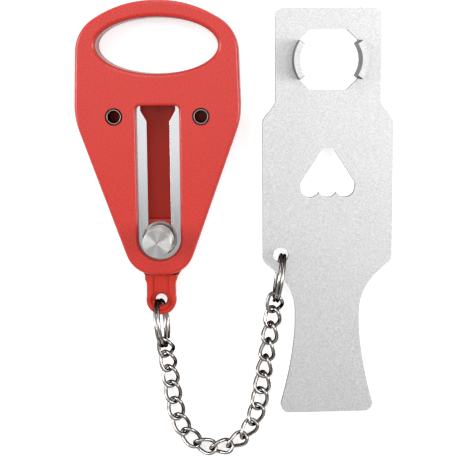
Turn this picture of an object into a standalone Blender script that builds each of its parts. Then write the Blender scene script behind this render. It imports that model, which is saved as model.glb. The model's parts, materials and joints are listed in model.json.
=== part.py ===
# Portable door lock: a two-shell moulded handle with a knob that slides in a steel keyhole plate,
# chained by two split rings to a steel latch plate with two bent claws.
# Metres, +Z up. The origin lies on the rear face of the handle, under the middle of its window.
# The handle points along +Y and the whole lock lies on the floor plane z = 0.

import math

import bmesh
import bpy
from mathutils import Matrix, Vector

# Fits
RUNNING_GAP = 0.0003
SEAM_GAP = 0.0003
OVERRUN = 0.002

# Handle, window over the slide plate
WINDOW_WIDTH = 0.0141
WINDOW_TOP = 0.0253
WINDOW_BOTTOM = 0.0257
WINDOW_CORNER = 0.0014
WINDOW_EDGE_ROUND = 0.0007

# Eyelets
EYELET_MARGIN = 0.0072
EYELET_DROP = 0.0035
EYELET_BORE = 0.0037
EYELET_TUBE = 0.0043
EYELET_RIM = 0.0052
EYELET_FOOT = 0.0055
EYELET_RIM_THICKNESS = 0.0009
EYELET_FOOT_THICKNESS = 0.0007
EYELET_SINK_DIAMETER = 0.0058
EYELET_SINK_DEPTH = 0.0013
EYELET_SPREAD = WINDOW_WIDTH + 2 * EYELET_MARGIN
EYELET_HEIGHT = WINDOW_TOP - EYELET_DROP

# Slide plate
SLIDE_PLATE_THICKNESS = 0.0014
SLIDE_PLATE_MARGIN = 0.00395
SLIDE_PLATE_SHANK = 0.0188
SLIDE_PLATE_TOP_LAP = 0.0026
SLIDE_PLATE_END_LAP = 0.0025
SLIDE_PLATE_HEAD = 0.0144
SLIDE_PLATE_CORNER = 0.003
SLOT_WIDTH = 0.00746
MOUTH_WIDTH = 0.0115
MOUTH_LAP = 0.0009
MOUTH_DEPTH = 0.0025
MOUTH_TAPER = 0.0035
MOUTH_CORNER = 0.001
KEY_HOLE_DIAMETER = 0.0112
SLIDE_PLATE_WIDTH = EYELET_SPREAD + 2 * SLIDE_PLATE_MARGIN
SLIDE_PLATE_TOP = WINDOW_TOP + SLIDE_PLATE_TOP_LAP
SLIDE_PLATE_STEP = SLIDE_PLATE_TOP - SLIDE_PLATE_HEAD
SLIDE_PLATE_END = WINDOW_BOTTOM + SLIDE_PLATE_END_LAP
MOUTH_TOP = WINDOW_TOP + MOUTH_LAP
MOUTH_SHOULDER = MOUTH_TOP - MOUTH_DEPTH
MOUTH_THROAT = MOUTH_SHOULDER - MOUTH_TAPER

# Handle, inner hollow
WALL = 0.002
REAR_FLOOR = 0.0018
FACE_THICKNESS = 0.002
HOLLOW_SPACE = 0.0006
HOLLOW_CORNER = 0.003
HOLLOW_TOP = SLIDE_PLATE_TOP + HOLLOW_SPACE

# Handle, outer form
HANDLE_THICKNESS = 0.010
HANDLE_WIDTH = 0.0547
SHOULDER_DRAW = 0.0021
CROWN_RISE = 0.0093
CROWN_WIDTH_SHARE = 0.3876
CROWN_ROUND_SHARE = 0.93
SHOULDER_ROUND_SHARE = 0.846
HIP_DROP = 0.0039
HIP_RADIUS = 0.025
NOSE_WALL = 0.0026
NOSE_WIDTH = 0.0175
NOSE_ROUND_SHARE = 0.806
FRONT_EDGE_ROUND = 0.0012
REAR_EDGE_ROUND = 0.0009
SEAM_HEIGHT = 0.0040
SHOULDER_WIDTH = HANDLE_WIDTH - SHOULDER_DRAW
CROWN_WIDTH = HANDLE_WIDTH * CROWN_WIDTH_SHARE
HIP_HEIGHT = WINDOW_TOP - HIP_DROP
NOSE_DEPTH = SLIDE_PLATE_END + NOSE_WALL

# Handle, opening for the hand
GRIP_HOLE_HEIGHT = 0.0181
GRIP_SIDE = 0.00745
GRIP_LAND = 0.0072
GRIP_RIM = 0.0055
GRIP_EDGE_ROUND = 0.0016
GRIP_HOLE_WIDTH = HANDLE_WIDTH - 2 * GRIP_SIDE
GRIP_HOLE_PLACE = HOLLOW_TOP + GRIP_LAND + GRIP_HOLE_HEIGHT / 2
CROWN_HEIGHT = GRIP_HOLE_PLACE + GRIP_HOLE_HEIGHT / 2 + GRIP_RIM
SHOULDER_HEIGHT = CROWN_HEIGHT - CROWN_RISE

# Cover screws
SCREW_SHANK = 0.0024
SCREW_HEAD = 0.0046
SCREW_HEAD_THICKNESS = 0.0012
SCREW_TIP_COVER = 0.0016
SCREW_SINK_DEPTH = 0.0015
SCREW_BOSS = 0.0052
UPPER_SCREW_MARGIN = 0.00535
UPPER_SCREW_RISE = 0.0050
LOWER_SCREW_MARGIN = 0.00427
LOWER_SCREW_HEIGHT = -0.008
UPPER_SCREW_SPREAD = HANDLE_WIDTH - 2 * UPPER_SCREW_MARGIN
UPPER_SCREW_HEIGHT = HOLLOW_TOP + UPPER_SCREW_RISE
SCREW_TIP_HEIGHT = HANDLE_THICKNESS - SCREW_TIP_COVER

# Guide rails and slide shoe
SHOE_WIDTH = 0.0144
SHOE_LENGTH = 0.012
SHOE_CORNER = 0.0025
SHOE_SPACE = 0.0013
SHOE_LIFT = 0.0006
RAIL_GAP = 0.0004
RAIL_WIDTH = 0.0015
RAIL_START_SPACE = 0.0037
RAIL_LAP = 0.0009
RAIL_START = RAIL_START_SPACE - WINDOW_BOTTOM
RAIL_END = WINDOW_TOP + RAIL_LAP

# Stud, washer and knob
STUD_SHOULDER = 0.0066
STUD_SPIGOT = 0.0044
STUD_SPIGOT_LENGTH = 0.0070
STUD_HEX_WIDTH = 0.0072
STUD_HEX_THICKNESS = 0.0012
WASHER_WIDTH = 0.0112
WASHER_THICKNESS = 0.0004
WASHER_WAVE = 0.00015
WASHER_WAVES = 3
KNOB_HEAD = 0.0093
KNOB_HEAD_LENGTH = 0.0042
KNOB_RIB = 0.0089
KNOB_RIB_LENGTH = 0.0018
KNOB_COLLAR = 0.0079
KNOB_COLLAR_LENGTH = 0.0015
KNOB_NECK = 0.0062
LOWER_GROOVE = 0.0013
UPPER_GROOVE = 0.0022
KNOB_EDGE = 0.0003
DIMPLE_DIAMETER = 0.0010
DIMPLE_DEPTH = 0.0004

# Tab for the split ring
TAB_WIDTH = 0.0101
TAB_ROOT_SPREAD = 0.0039
TAB_ROOT_LAP = 0.0006
TAB_NECK_DRAW = 0.0005
TAB_NECK_REACH = 0.0030
TAB_NECK_RADIUS = 0.004
TAB_FOOT_REACH = 0.0052
TAB_HOLE_REACH = 0.0090
TAB_THICKNESS = 0.0040
TAB_UNDERSIDE = 0.0032
TAB_LOBE_START = 15.0
TAB_HOLE_DIAMETER = 0.0038
TAB_WEB = 0.0026
TAB_DISH_RIM = 0.00145
TAB_GROOVE_BANK = 0.0009
TAB_GROOVE_DEPTH = 0.0004
TAB_EDGE_ROUND = 0.0008
TAB_TOP = TAB_UNDERSIDE + TAB_THICKNESS
TAB_ROOT_WIDTH = TAB_WIDTH + TAB_ROOT_SPREAD
TAB_ROOT = NOSE_DEPTH - TAB_ROOT_LAP
TAB_NECK_WIDTH = TAB_WIDTH - TAB_NECK_DRAW
TAB_NECK = NOSE_DEPTH + TAB_NECK_REACH
TAB_FOOT_END = NOSE_DEPTH + TAB_FOOT_REACH
TAB_HOLE_PLACE = NOSE_DEPTH + TAB_HOLE_REACH
TAB_DISH_DIAMETER = TAB_WIDTH - 2 * TAB_DISH_RIM
TAB_GROOVE_WIDTH = TAB_DISH_DIAMETER - 2 * TAB_GROOVE_BANK

# Split rings
RING_DIAMETER = 0.0166
RING_WIRE = 0.00105
RING_COIL_GAP = 0.0001
RING_RAMP = 26.0
RING_END_SPACE = 10.0
TAB_RING_YAW = -83.0
TAB_RING_LEAN = -5.0
PLATE_RING_YAW = -99.5
PLATE_RING_LEAN = 2.0
HOOK_ANGLE = 8.0
HOOK_SLACK = 0.00075
RING_SLACK = 0.0006

# Chain: twisted links, each rigid
LINK_COUNT = 19
LINK_PITCH = 0.0059
LINK_WIRE = 0.0013
LINK_WIDTH = 0.0063
LINK_TWIST = 0.0011
LINK_GAP = 0.0003
LINK_HEADINGS = (-86, -85, -83, -82, -80, -65, -46, -17, 10, 35, 57, 72, 80, 82, 81, 81, 81, 82, 82)
LINK_ROLLS = (0, 2, 3, 0, 0, -4, -3, 11, 19, 24, 26, 14, -2, -21, -36, -37, -27, -11, 0)
DRAPE_SHARES = (1.0, 0.5, 0.16)

# Latch plate, with its lengths measured one after another from its head end
PLATE_THICKNESS = 0.0019
PLATE_BODY_WIDTH = 0.0434
PLATE_HEAD_DRAW = 0.0043
PLATE_NECK_WIDTH = 0.0216
PLATE_TAIL_WIDTH = 0.0332
PLATE_CORNER = 0.0028
PLATE_TILT = 5.5
HEAD_LENGTH = 0.0300
SHOULDER_LENGTH = 0.0075
BODY_LENGTH = 0.0461
HIP_LENGTH = 0.0184
NECK_LENGTH = 0.0015
TAIL_LENGTH = 0.0325
HIP_CORNER = 0.003
PLATE_HEAD_WIDTH = PLATE_BODY_WIDTH - 2 * PLATE_HEAD_DRAW
BODY_START = HEAD_LENGTH + SHOULDER_LENGTH
BODY_END = BODY_START + BODY_LENGTH
HIP_END = BODY_END + HIP_LENGTH
NECK_MIDDLE = HIP_END + NECK_LENGTH
PLATE_LENGTH = NECK_MIDDLE + TAIL_LENGTH

# Latch plate, cut-outs measured from its head end and its centre line
CLAW_HOLE_PLACE = 0.0168
CLAW_HOLE_HEIGHT = 0.0197
CLAW_HOLE_WIDTH = 0.0203
CLAW_HOLE_CUT_ACROSS = 0.00415
CLAW_HOLE_CUT_ALONG = 0.00405
CLAW_HEIGHT = 0.0070
CLAW_RADIUS = 0.0108
CLAW_SPAN = 36.0
CLAW_TOP_ROUND = 0.002
CLAW_THICKNESS = PLATE_THICKNESS
CLAW_HOLE_FLAT = CLAW_HOLE_WIDTH - 2 * CLAW_HOLE_CUT_ACROSS
CLAW_HOLE_SIDE = CLAW_HOLE_HEIGHT - 2 * CLAW_HOLE_CUT_ALONG
HEART_START = 0.0083
HEART_SLOPE = 0.0117
HEART_SKIRT = 0.0028
HEART_FLARE = 0.0002
HEART_LOBE_SPACING = 0.0058
HEART_LOBE_RADIUS = 0.00325
HEART_APEX_RADIUS = 0.0022
HEART_CORNER_RADIUS = 0.0016
HEART_APEX = BODY_START + HEART_START
HEART_SHOULDER = HEART_APEX + HEART_SLOPE
HEART_CUSP = HEART_SHOULDER + HEART_SKIRT
HEART_WIDTH = 2 * (HEART_LOBE_SPACING + HEART_LOBE_RADIUS + HEART_FLARE)
CHAIN_HOLE_DIAMETER = 0.0051
CHAIN_HOLE_END_MARGIN = 0.0022
CHAIN_HOLE_SIDE_MARGIN = 0.0060
CHAIN_HOLE_PLACE = BODY_END - CHAIN_HOLE_END_MARGIN
CHAIN_HOLE_OFFSET = PLATE_BODY_WIDTH / 2 - CHAIN_HOLE_SIDE_MARGIN

# Facet counts
OUTLINE_STEPS = 6
CORNER_STEPS = 4
EDGE_STEPS = 3
GRIP_STEPS = 32
END_STEPS = 6
TURN_STEPS = 24
SMALL_TURN_STEPS = 16
LINK_STEPS = 16
RING_STEPS = 22
CLAW_STEPS = 8
PLATE_SWEEP_STEPS = 7
TUBE_RESOLUTION = 2

# Heights that follow from the sizes above
FACE = HANDLE_THICKNESS
FACE_INSIDE = FACE - FACE_THICKNESS
FRONT_START = SEAM_HEIGHT + SEAM_GAP
SLIDE_TOP = FACE_INSIDE - RUNNING_GAP
SLIDE_BOTTOM = SLIDE_TOP - SLIDE_PLATE_THICKNESS
WINDOW_RADIUS = WINDOW_WIDTH / 2
KNOB_REST = WINDOW_RADIUS - WINDOW_BOTTOM
KNOB_BASE = SLIDE_TOP + RUNNING_GAP
RAIL_HEIGHT = SLIDE_BOTTOM - RUNNING_GAP
SHOE_TOP = SLIDE_BOTTOM - SHOE_SPACE
TAB_MIDDLE = (TAB_TOP + TAB_UNDERSIDE) / 2
FLANK_SLOPE = (HANDLE_WIDTH - NOSE_WIDTH) / 2 / (HIP_HEIGHT + NOSE_DEPTH)
RING_RADIUS = (RING_DIAMETER - RING_WIRE) / 2
RING_COIL_STEP = RING_WIRE + RING_COIL_GAP
RING_INSIDE = RING_DIAMETER / 2 - RING_WIRE
LINK_HALF_LENGTH = (LINK_PITCH + LINK_WIRE + LINK_GAP) / 2
LINK_HALF_WIDTH = (LINK_WIDTH - LINK_WIRE) / 2


# Finishes

def finish(name, colour, roughness, metallic):
    """A Principled material with one colour, roughness and metallic value."""
    made = bpy.data.materials.new(name)
    made.use_nodes = True
    shader = made.node_tree.nodes["Principled BSDF"]
    shader.inputs["Base Color"].default_value = (*colour, 1.0)
    shader.inputs["Roughness"].default_value = roughness
    shader.inputs["Metallic"].default_value = metallic
    return made


# Outlines: lists of (x, y) points that run anticlockwise

def round_corners(corners, steps):
    """A path through (x, y, radius) corners, with an arc in place of each corner that has a radius."""
    path = []
    last = len(corners) - 1
    for index, (x, y, radius) in enumerate(corners):
        here = Vector((x, y))
        if radius == 0 or index in (0, last):
            path.append((x, y))
            continue
        back = (Vector(corners[index - 1][:2]) - here).normalized()
        ahead = (Vector(corners[index + 1][:2]) - here).normalized()
        half_turn = back.angle(ahead) / 2
        centre = here + (back + ahead).normalized() * radius / math.sin(half_turn)
        first = here + back * radius / math.tan(half_turn) - centre
        final = here + ahead * radius / math.tan(half_turn) - centre
        sweep = first.angle_signed(final)
        for step in range(steps + 1):
            spoke = first.copy()
            spoke.rotate(Matrix.Rotation(-sweep * step / steps, 2))
            path.append(tuple(centre + spoke))
    return path


def fitted_radius(before, corner, after, reach):
    """Radius of the arc that starts a reach away from a corner."""
    here = Vector(corner)
    half_turn = (Vector(before) - here).angle(Vector(after) - here) / 2
    return reach * math.tan(half_turn)


def arc(centre, radius, start, end, steps):
    """Points on an arc from start to end, in degrees."""
    angles = [math.radians(start + (end - start) * step / steps) for step in range(steps + 1)]
    return [(centre[0] + radius * math.cos(a), centre[1] + radius * math.sin(a)) for a in angles]


def circle(centre, radius, steps):
    """A full circle without the repeated last point."""
    return arc(centre, radius, 0, 360, steps)[:-1]


def ellipse(width, height, place, steps):
    """A full ellipse whose centre is at (0, place)."""
    return [(x * width / 2, y * height / 2 + place) for x, y in circle((0, 0), 1, steps)]


def mirrored(half):
    """Closes a right half that runs upwards from the centre line back to it."""
    left = [(-x, y) for x, y in reversed(half) if x > RUNNING_GAP / 1000]
    return half + left


def offset(outline, distance):
    """The outline moved outwards by a distance along its point normals."""
    moved = []
    count = len(outline)
    for index, (x, y) in enumerate(outline):
        before = Vector(outline[index - 1])
        after = Vector(outline[(index + 1) % count])
        here = Vector((x, y))
        edge_in = (here - before).normalized()
        edge_out = (after - here).normalized()
        normal = Vector((edge_in.y + edge_out.y, -edge_in.x - edge_out.x)).normalized()
        share = max(normal.dot(Vector((edge_in.y, -edge_in.x))), 0.5)
        moved.append(tuple(here + normal * distance / share))
    return moved


def flank_half_width(height, inset):
    """Half the handle's width on its straight flank, drawn in by an inset."""
    outer = HANDLE_WIDTH / 2 - FLANK_SLOPE * (HIP_HEIGHT - height)
    return outer - inset * math.hypot(1, FLANK_SLOPE)


def nose_radius():
    """Radius of the nose, whose arcs take a share of its width."""
    nose = (NOSE_WIDTH / 2, -NOSE_DEPTH)
    return fitted_radius((0, -NOSE_DEPTH), nose, (HANDLE_WIDTH / 2, HIP_HEIGHT), nose[0] * NOSE_ROUND_SHARE)


def handle_outline():
    """The teardrop that both covers share."""
    hip = (HANDLE_WIDTH / 2, HIP_HEIGHT)
    shoulder = (SHOULDER_WIDTH / 2, SHOULDER_HEIGHT)
    crown = (CROWN_WIDTH / 2, CROWN_HEIGHT)
    crown_reach = crown[0] * CROWN_ROUND_SHARE
    shoulder_reach = (math.dist(shoulder, crown) - crown_reach) * SHOULDER_ROUND_SHARE
    half = round_corners(
        [
            (0, -NOSE_DEPTH, 0),
            (NOSE_WIDTH / 2, -NOSE_DEPTH, nose_radius()),
            (*hip, HIP_RADIUS),
            (*shoulder, fitted_radius(hip, shoulder, crown, shoulder_reach)),
            (*crown, fitted_radius(shoulder, crown, (0, CROWN_HEIGHT), crown_reach)),
            (0, CROWN_HEIGHT, 0),
        ],
        OUTLINE_STEPS,
    )
    return mirrored(half)


def hollow_outline():
    """The hollow between the covers, one wall inside the flanks and nose."""
    nose = WALL - NOSE_DEPTH
    shoulder = HANDLE_WIDTH / 2 - WALL
    bend = HIP_HEIGHT - (flank_half_width(HIP_HEIGHT, WALL) - shoulder) / FLANK_SLOPE
    half = round_corners(
        [
            (0, nose, 0),
            (flank_half_width(nose, WALL), nose, nose_radius() - WALL),
            (shoulder, bend, HOLLOW_CORNER),
            (shoulder, HOLLOW_TOP, HOLLOW_CORNER),
            (0, HOLLOW_TOP, 0),
        ],
        CORNER_STEPS,
    )
    return mirrored(half)


def grip_outline():
    """The oval hole for the fingers."""
    return ellipse(GRIP_HOLE_WIDTH, GRIP_HOLE_HEIGHT, GRIP_HOLE_PLACE, GRIP_STEPS)


def window_outline():
    """The window: a round lower end and two tight upper corners."""
    half = round_corners(
        [(WINDOW_RADIUS, KNOB_REST, 0), (WINDOW_RADIUS, WINDOW_TOP, WINDOW_CORNER), (0, WINDOW_TOP, 0)],
        CORNER_STEPS,
    )
    end = arc((0, KNOB_REST), WINDOW_RADIUS, -90, 0, END_STEPS)[:-1]
    return mirrored(end + half)


# Solids

def closed_mesh(bm, name):
    """Turns a bmesh into mesh data with its faces pointing out."""
    bmesh.ops.recalc_face_normals(bm, faces=bm.faces)
    mesh = bpy.data.meshes.new(name)
    bm.to_mesh(mesh)
    bm.free()
    return mesh


def place(name, data, look):
    """Links an object that carries the data and its finish."""
    made = bpy.data.objects.new(name, data)
    if not data.materials:
        data.materials.append(look)
    bpy.context.collection.objects.link(made)
    return made


def guide(made):
    """Marks a cutter or a joined form, which is no piece of its own."""
    made.hide_render = True
    made.display_type = "WIRE"
    return made


def skin(name, rings, look, closed=False):
    """A solid through rings of points, capped at both ends or closed on itself."""
    bm = bmesh.new()
    loops = [[bm.verts.new(point) for point in ring] for ring in rings]
    count = len(loops[0])
    pairs = list(zip(loops, loops[1:]))
    if closed:
        pairs.append((loops[-1], loops[0]))
    else:
        bm.faces.new(loops[0])
        bm.faces.new(loops[-1])
    for lower, upper in pairs:
        for index in range(count):
            after = (index + 1) % count
            bm.faces.new((lower[index], lower[after], upper[after], upper[index]))
    return place(name, closed_mesh(bm, name), look)


def rounded_levels(height, radius, direction):
    """(height, inset) pairs of a quarter round that ends at a height; a negative radius flares out."""
    if radius == 0:
        return [(height, 0)]
    levels = []
    for step in range(EDGE_STEPS + 1):
        angle = math.radians(90 * step / EDGE_STEPS)
        reach = abs(radius)
        level = height - direction * reach * (1 - math.sin(angle))
        levels.append((level, radius * (1 - math.cos(angle))))
    return levels


def slab(name, outline, bottom, top, look, bottom_round=0, top_round=0):
    """An outline raised from bottom to top, with rounded or flared rims."""
    lower = rounded_levels(bottom, bottom_round, -1)[::-1]
    upper = rounded_levels(top, top_round, 1)
    rings = []
    for level, inset in lower + upper:
        ring = offset(outline, -inset) if inset else outline
        rings.append([(x, y, level) for x, y in ring])
    return skin(name, rings, look)


def turned(name, profile, steps, look, closed=False):
    """A body of revolution about Z from a (radius, height) profile."""
    bm = bmesh.new()
    points = [bm.verts.new((radius, 0, height)) for radius, height in profile]
    edges = [bm.edges.new(pair) for pair in zip(points, points[1:])]
    if closed:
        edges.append(bm.edges.new((points[-1], points[0])))
    bmesh.ops.spin(
        bm,
        geom=points + edges,
        cent=(0, 0, 0),
        axis=(0, 0, 1),
        angle=math.tau,
        steps=steps,
        use_merge=True,
    )
    bmesh.ops.remove_doubles(bm, verts=bm.verts, dist=RUNNING_GAP / 1000)
    return place(name, closed_mesh(bm, name), look)


def wire_form(name, points, wire, look, closed):
    """A round wire along a list of points."""
    data = bpy.data.curves.new(name, "CURVE")
    data.dimensions = "3D"
    data.bevel_depth = wire / 2
    data.bevel_resolution = TUBE_RESOLUTION
    data.use_fill_caps = not closed
    spline = data.splines.new("POLY")
    spline.points.add(len(points) - 1)
    for node, point in zip(spline.points, points):
        node.co = (*point, 1)
    spline.use_cyclic_u = closed
    spline.use_smooth = True
    return place(name, data, look)


def combine(target, other, operation):
    """Adds a Boolean of another form to a piece and hides that form."""
    guide(other)
    step = target.modifiers.new(other.name, "BOOLEAN")
    step.operation = operation
    step.solver = "EXACT"
    step.object = other


def cut(target, *cutters):
    """Cuts forms out of a piece."""
    for cutter in cutters:
        combine(target, cutter, "DIFFERENCE")


def join(target, *forms):
    """Moulds forms onto a piece."""
    for form in forms:
        combine(target, form, "UNION")


def soften(made, angle=35.0):
    """Shades a piece smooth and keeps its hard edges."""
    made.data.shade_smooth()
    made.data.set_sharp_from_angle(angle=math.radians(angle))


# Places

def pair(spread):
    """The two x places of a mirrored pair."""
    return (("left", -spread / 2), ("right", spread / 2))


def screw_places():
    """The four cover screws."""
    upper = [(x, UPPER_SCREW_HEIGHT) for _, x in pair(UPPER_SCREW_SPREAD)]
    lower_spread = 2 * (flank_half_width(LOWER_SCREW_HEIGHT, 0) - LOWER_SCREW_MARGIN)
    lower = [(x, LOWER_SCREW_HEIGHT) for _, x in pair(lower_spread)]
    return upper + lower


# Handle

def make_front_cover(look):
    """The front shell: rounded face, grip hole, window, eyelet seats and screw bosses."""
    shell = slab("front_cover", handle_outline(), FRONT_START, FACE, look, top_round=FRONT_EDGE_ROUND)
    hollow = slab("front_hollow", hollow_outline(), FRONT_START - OVERRUN, FACE_INSIDE, look)
    cut(shell, hollow)
    for number, (x, y) in enumerate(screw_places()[2:]):
        boss = circle((x, y), SCREW_BOSS / 2, SMALL_TURN_STEPS)
        foot = FRONT_START + RUNNING_GAP
        join(shell, slab(f"front_boss_{number}", boss, foot, FACE_INSIDE + FACE_THICKNESS / 2, look))
    grip = slab("front_grip", grip_outline(), FRONT_START - OVERRUN, FACE, look, top_round=-GRIP_EDGE_ROUND)
    window = slab(
        "front_window", window_outline(), FACE_INSIDE - OVERRUN, FACE, look, top_round=-WINDOW_EDGE_ROUND
    )
    cut(shell, raised(grip), raised(window))
    for side, x in pair(EYELET_SPREAD):
        hole = circle((x, EYELET_HEIGHT), EYELET_TUBE / 2 + RUNNING_GAP, SMALL_TURN_STEPS)
        sink = circle((x, EYELET_HEIGHT), EYELET_SINK_DIAMETER / 2, SMALL_TURN_STEPS)
        cut(
            shell,
            slab(f"front_eyelet_{side}", hole, FACE_INSIDE - OVERRUN, FACE + OVERRUN, look),
            slab(f"front_sink_{side}", sink, FACE - EYELET_SINK_DEPTH, FACE + OVERRUN, look),
        )
    for number, (x, y) in enumerate(screw_places()):
        pilot = circle((x, y), SCREW_SHANK / 2 + RUNNING_GAP, SMALL_TURN_STEPS)
        top = SCREW_TIP_HEIGHT + RUNNING_GAP
        cut(shell, slab(f"front_pilot_{number}", pilot, FRONT_START - OVERRUN, top, look))
    soften(shell)
    return shell


def raised(cutter):
    """Lengthens a flared cutter upwards, so that it leaves the face cleanly."""
    bm = bmesh.new()
    bm.from_mesh(cutter.data)
    top = max(vert.co.z for vert in bm.verts)
    cap = [face for face in bm.faces if all(vert.co.z > top - RUNNING_GAP / 10 for vert in face.verts)]
    extruded = bmesh.ops.extrude_face_region(bm, geom=cap)
    verts = [item for item in extruded["geom"] if isinstance(item, bmesh.types.BMVert)]
    bmesh.ops.delete(bm, geom=cap, context="FACES_ONLY")
    bmesh.ops.translate(bm, verts=verts, vec=(0, 0, OVERRUN))
    bmesh.ops.recalc_face_normals(bm, faces=bm.faces)
    bm.to_mesh(cutter.data)
    bm.free()
    return cutter


def make_tab(look):
    """The ring tab below the nose: a foot on the floor side and a raised lobe."""
    lobe = round_corners(
        [
            (TAB_ROOT_WIDTH / 2, -TAB_ROOT, 0),
            (TAB_NECK_WIDTH / 2, -TAB_NECK, TAB_NECK_RADIUS),
            (*arc((0, -TAB_HOLE_PLACE), TAB_WIDTH / 2, TAB_LOBE_START, TAB_LOBE_START, 1)[0], 0),
        ],
        CORNER_STEPS,
    )[:-1]
    end = arc((0, -TAB_HOLE_PLACE), TAB_WIDTH / 2, TAB_LOBE_START, -90, 2 * END_STEPS)
    half = (lobe + end)[::-1]
    step = -NOSE_DEPTH - RUNNING_GAP
    upper_half = [point for point in half if point[1] < step]
    upper_half += [(upper_half[-1][0], step), (0, step)]
    root = FACE / 2 - NOSE_DEPTH
    neck = TAB_NECK_WIDTH / 2 - RUNNING_GAP
    shoulder = TAB_ROOT_WIDTH / 2 - RUNNING_GAP
    foot_half = [(0, -TAB_FOOT_END), (neck, -TAB_FOOT_END), (neck, -TAB_NECK), (shoulder, -TAB_ROOT)]
    foot_half += [(shoulder, root), (0, root)]
    lobe_slab = slab(
        "tab_lobe",
        mirrored(upper_half),
        TAB_UNDERSIDE,
        TAB_TOP,
        look,
        bottom_round=TAB_EDGE_ROUND,
        top_round=TAB_EDGE_ROUND,
    )
    foot_slab = slab("tab_foot", mirrored(foot_half), RUNNING_GAP, SEAM_HEIGHT - RUNNING_GAP, look)
    return foot_slab, lobe_slab


def tab_hole_cutter(look):
    """The ring hole: a dish on each face and a web whose rim is fully rounded."""
    radius = TAB_HOLE_DIAMETER / 2
    reach = TAB_WEB / 2
    dish = TAB_DISH_DIAMETER / 2
    waist = []
    for step in range(2 * EDGE_STEPS + 1):
        angle = math.radians(-90 + 90 * step / EDGE_STEPS)
        waist.append((radius + reach * (1 - math.cos(angle)), TAB_MIDDLE + reach * math.sin(angle)))
    bottom = TAB_UNDERSIDE - OVERRUN
    top = TAB_TOP + OVERRUN
    profile = [(0, bottom), (dish, bottom), (dish, TAB_MIDDLE - reach)]
    profile += waist
    profile += [(dish, TAB_MIDDLE + reach), (dish, top), (0, top)]
    cutter = turned("tab_hole", profile, TURN_STEPS, look)
    cutter.location = (0, -TAB_HOLE_PLACE, 0)
    return cutter


def make_rear_cover(look):
    """The rear shell: floor, rim, guide rails, screw bosses and the ring tab."""
    shell = slab("rear_cover", handle_outline(), 0, SEAM_HEIGHT, look, bottom_round=REAR_EDGE_ROUND)
    cut(shell, slab("rear_hollow", hollow_outline(), REAR_FLOOR, SEAM_HEIGHT + OVERRUN, look))
    inner = SHOE_WIDTH / 2 + RAIL_GAP
    sunk = REAR_FLOOR / 2
    for side, sign in (("left", -1), ("right", 1)):
        edges = sorted((sign * inner, sign * (inner + RAIL_WIDTH)))
        rail = [(edges[0], RAIL_START), (edges[1], RAIL_START), (edges[1], RAIL_END), (edges[0], RAIL_END)]
        join(shell, slab(f"rail_{side}", rail, sunk, RAIL_HEIGHT, look))
    for number, (x, y) in enumerate(screw_places()[2:]):
        boss = circle((x, y), SCREW_BOSS / 2, SMALL_TURN_STEPS)
        join(shell, slab(f"rear_boss_{number}", boss, sunk, SEAM_HEIGHT - RUNNING_GAP, look))
    join(shell, *make_tab(look))
    for number, (x, y) in enumerate(screw_places()):
        hole = circle((x, y), SCREW_SHANK / 2 + RUNNING_GAP, SMALL_TURN_STEPS)
        sink = circle((x, y), SCREW_HEAD / 2 + RUNNING_GAP, SMALL_TURN_STEPS)
        cut(
            shell,
            slab(f"rear_hole_{number}", hole, -OVERRUN, SEAM_HEIGHT + OVERRUN, look),
            slab(f"rear_sink_{number}", sink, -OVERRUN, SCREW_SINK_DEPTH, look),
        )
    grip = slab("rear_grip", grip_outline(), -OVERRUN, SEAM_HEIGHT + OVERRUN, look)
    groove = slab("tab_groove", groove_outline(), TAB_TOP - TAB_GROOVE_DEPTH, TAB_TOP + OVERRUN, look)
    cut(shell, grip, groove, tab_hole_cutter(look))
    soften(shell)
    return shell


def groove_outline():
    """The shallow channel that runs down the tab into the ring hole's dish."""
    half = TAB_GROOVE_WIDTH / 2
    top = -NOSE_DEPTH + OVERRUN
    bottom = -TAB_HOLE_PLACE + TAB_DISH_DIAMETER / 4
    return [(-half, bottom), (half, bottom), (half, top), (-half, top)]


def make_slide_plate(look):
    """The steel keyhole plate behind the window."""
    shank = SLIDE_PLATE_SHANK / 2
    half = arc((0, shank - SLIDE_PLATE_END), shank, -90, 0, END_STEPS)
    half += round_corners(
        [
            (shank, shank - SLIDE_PLATE_END, 0),
            (shank, SLIDE_PLATE_STEP - SLIDE_PLATE_CORNER, SLIDE_PLATE_CORNER / 2),
            (SLIDE_PLATE_WIDTH / 2, SLIDE_PLATE_STEP, SLIDE_PLATE_CORNER),
            (SLIDE_PLATE_WIDTH / 2, SLIDE_PLATE_TOP, SLIDE_PLATE_CORNER),
            (0, SLIDE_PLATE_TOP, 0),
        ],
        CORNER_STEPS,
    )[1:]
    sheet = slab("slide_plate", mirrored(half), SLIDE_BOTTOM, SLIDE_TOP, look)
    bottom = SLIDE_BOTTOM - OVERRUN
    top = SLIDE_TOP + OVERRUN
    slot = round_corners(
        [
            (0, KNOB_REST, 0),
            (SLOT_WIDTH / 2, KNOB_REST, 0),
            (SLOT_WIDTH / 2, MOUTH_THROAT, 0),
            (MOUTH_WIDTH / 2, MOUTH_SHOULDER, 0),
            (MOUTH_WIDTH / 2, MOUTH_TOP, MOUTH_CORNER),
            (0, MOUTH_TOP, 0),
        ],
        CORNER_STEPS,
    )
    hole = circle((0, KNOB_REST), KEY_HOLE_DIAMETER / 2, TURN_STEPS)
    cut(
        sheet,
        slab("slide_slot", mirrored(slot), bottom, top, look),
        slab("slide_hole", hole, bottom, top, look),
    )
    for side, x in pair(EYELET_SPREAD):
        bore = circle((x, EYELET_HEIGHT), EYELET_TUBE / 2 + RUNNING_GAP, SMALL_TURN_STEPS)
        cut(sheet, slab(f"slide_eyelet_{side}", bore, bottom, top, look))
    soften(sheet)
    return sheet


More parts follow.
